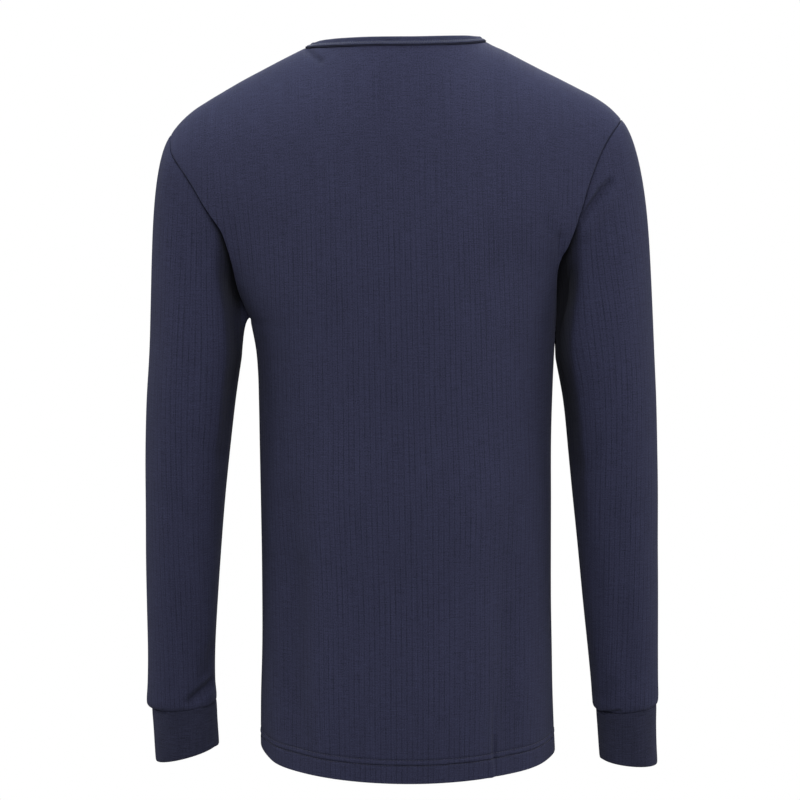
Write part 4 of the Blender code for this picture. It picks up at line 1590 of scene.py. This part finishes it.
def knit_finish(name, colour, lines, line_dark, line_deep, loop_sizes, mottle, sheen):
    """A knitted finish: colour, lines of dropped needles, loops, mottled yarn, painted shade and sheen."""
    material, tree, shader = new_finish(name)
    cut = put(tree, "ShaderNodeUVMap", uv_map="cut").outputs[0]
    place = put(tree, "ShaderNodeTexCoord").outputs["Object"]
    line = put(tree, "ShaderNodeGroup", {"Cut": cut, "Place": place, **lines},
               node_tree=needle_lines).outputs["Line"]
    loop = put(tree, "ShaderNodeGroup", {"Cut": cut, **loop_sizes}, node_tree=loops).outputs["Height"]
    mottled = put(tree, "ShaderNodeGroup", {"Cut": cut, **mottle}, node_tree=yarn).outputs
    darker = calc(tree, "MULTIPLY_ADD", line, -line_dark, 1.0)
    # painted shade: the fold attribute darkens the colour where folds, creases, seams and flanks lie in
    # shade
    fold = put(tree, "ShaderNodeAttribute", attribute_name="fold").outputs["Fac"]
    darker = calc(tree, "MULTIPLY", darker, calc(tree, "MULTIPLY_ADD", fold, -PAINTED_SHADE_DARK, 1.0))
    value = calc(tree, "MULTIPLY", darker, mottled["Shade"])
    shaded = put(tree, "ShaderNodeHueSaturation", {"Value": value, "Color": colour})
    height = calc(tree, "MULTIPLY_ADD", loop, LOOP_BUMP, calc(tree, "MULTIPLY", line, -line_deep))
    height = calc(tree, "MULTIPLY_ADD", mottled["Fuzz"], FUZZ_BUMP, height)
    height = calc(tree, "MULTIPLY_ADD", fold, -FOLD_BUMP, height)
    bump = put(tree, "ShaderNodeBump", {"Height": height, "Distance": 0.001, "Strength": 1.0})
    rough = calc(tree, "MULTIPLY_ADD", line, LINE_ROUGHER, ROUGHNESS)
    fill(tree, shader, {"Base Color": shaded.outputs[0], "Normal": bump.outputs[0], "Roughness": rough,
                        "Specular IOR Level": 0.18, "Sheen Weight": sheen, "Sheen Roughness": 0.45,
                        "Sheen Tint": SHEEN_TINT})
    return material


NAVY = (0.0362, 0.0390, 0.0840, 1.0)
NAVY_RIB = (0.0285, 0.0308, 0.0630, 1.0)
NAVY_BINDING = (0.0388, 0.0428, 0.0862, 1.0)
KNIT = {
    "lines": {"Pitch": 0.0053, "Line Width": 0.00085, "Half Line": 0.25, "Evenness": 0.55},
    "line_dark": 0.38,
    "line_deep": 0.18,
    "loop_sizes": {"Wale": 0.00088, "Course": 0.00066},
    "mottle": {"Fleck": 1.6, "Wale Streak": 0.45, "Course Streak": 0.6, "Cloud": 0.14},
    "sheen": 0.05,
}
RIB = {
    "lines": {"Pitch": 0.0016, "Line Width": 0.0005, "Half Line": 0.0, "Evenness": 0.8},
    "line_dark": 0.10,
    "line_deep": 0.16,
    "loop_sizes": {"Wale": 0.0008, "Course": 0.0006},
    "mottle": {"Fleck": 1.5, "Wale Streak": 0.5, "Course Streak": 1.0, "Cloud": 0.3},
    "sheen": 0.06,
}

navy_knit = knit_finish("navy_drop_needle_knit", NAVY, **KNIT)
navy_rib = knit_finish("navy_fine_rib", NAVY_RIB, **RIB)
navy_binding = knit_finish("navy_binding_rib", NAVY_BINDING, **RIB)


# %% Thread finish
# How dark the valleys between a thread's strands are, and how bright the strands
STRAND_SHADES = (0.82, 1.12)


def thread_finish(name, colour):
    """Twisted cotton thread: its strands are fine slanting bands along each stitch."""
    material, tree, shader = new_finish(name)
    where = put(tree, "ShaderNodeTexCoord").outputs["Object"]
    twist = put(tree, "ShaderNodeTexWave", {"Vector": where, "Scale": 900.0, "Distortion": 1.5},
                bands_direction="DIAGONAL").outputs["Fac"]
    value = ranged(tree, twist, 0.0, 1.0, *STRAND_SHADES, "LINEAR")
    shaded = put(tree, "ShaderNodeHueSaturation", {"Value": value, "Color": colour})
    bump = put(tree, "ShaderNodeBump", {"Height": twist, "Distance": 0.00008})
    fill(tree, shader, {"Base Color": shaded.outputs[0], "Normal": bump.outputs[0], "Roughness": 0.75,
                        "Sheen Weight": 0.2})
    return material


navy_thread = thread_finish("navy_thread", (0.044, 0.047, 0.092, 1.0))
pale_thread = thread_finish("pale_thread", (0.108, 0.118, 0.174, 1.0))
finishes = {"back": navy_knit, "front": navy_knit, "sleeve_left": navy_knit, "sleeve_right": navy_knit,
            "cuff_left": navy_rib, "cuff_right": navy_rib, "neck_band": navy_binding,
            "neck_stitches": pale_thread}
for name, piece in panels.items():
    piece.data.materials.clear()
    piece.data.materials.append(finishes.get(name, navy_thread))
print("finishes:", [material.name for material in bpy.data.materials])

# %% [markdown]
# ## What each piece is
# Every piece rides on the one body of the frame. Each sheet also stands for its plain wall, which is
# hidden.

SEWN_TO = {
    "back": ["front", "sleeve_left", "sleeve_right", "neck_band"],
    "front": ["back", "sleeve_left", "sleeve_right", "neck_band"],
    "sleeve_left": ["back", "front", "cuff_left"],
    "sleeve_right": ["back", "front", "cuff_right"],
    "cuff_left": ["sleeve_left"],
    "cuff_right": ["sleeve_right"],
    "neck_band": ["back", "front"],
}

for name, piece in panels.items():
    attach(piece, "root")

for node, neighbours in SEWN_TO.items():
    piece = panels[node]
    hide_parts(node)
    print(node, "declared")
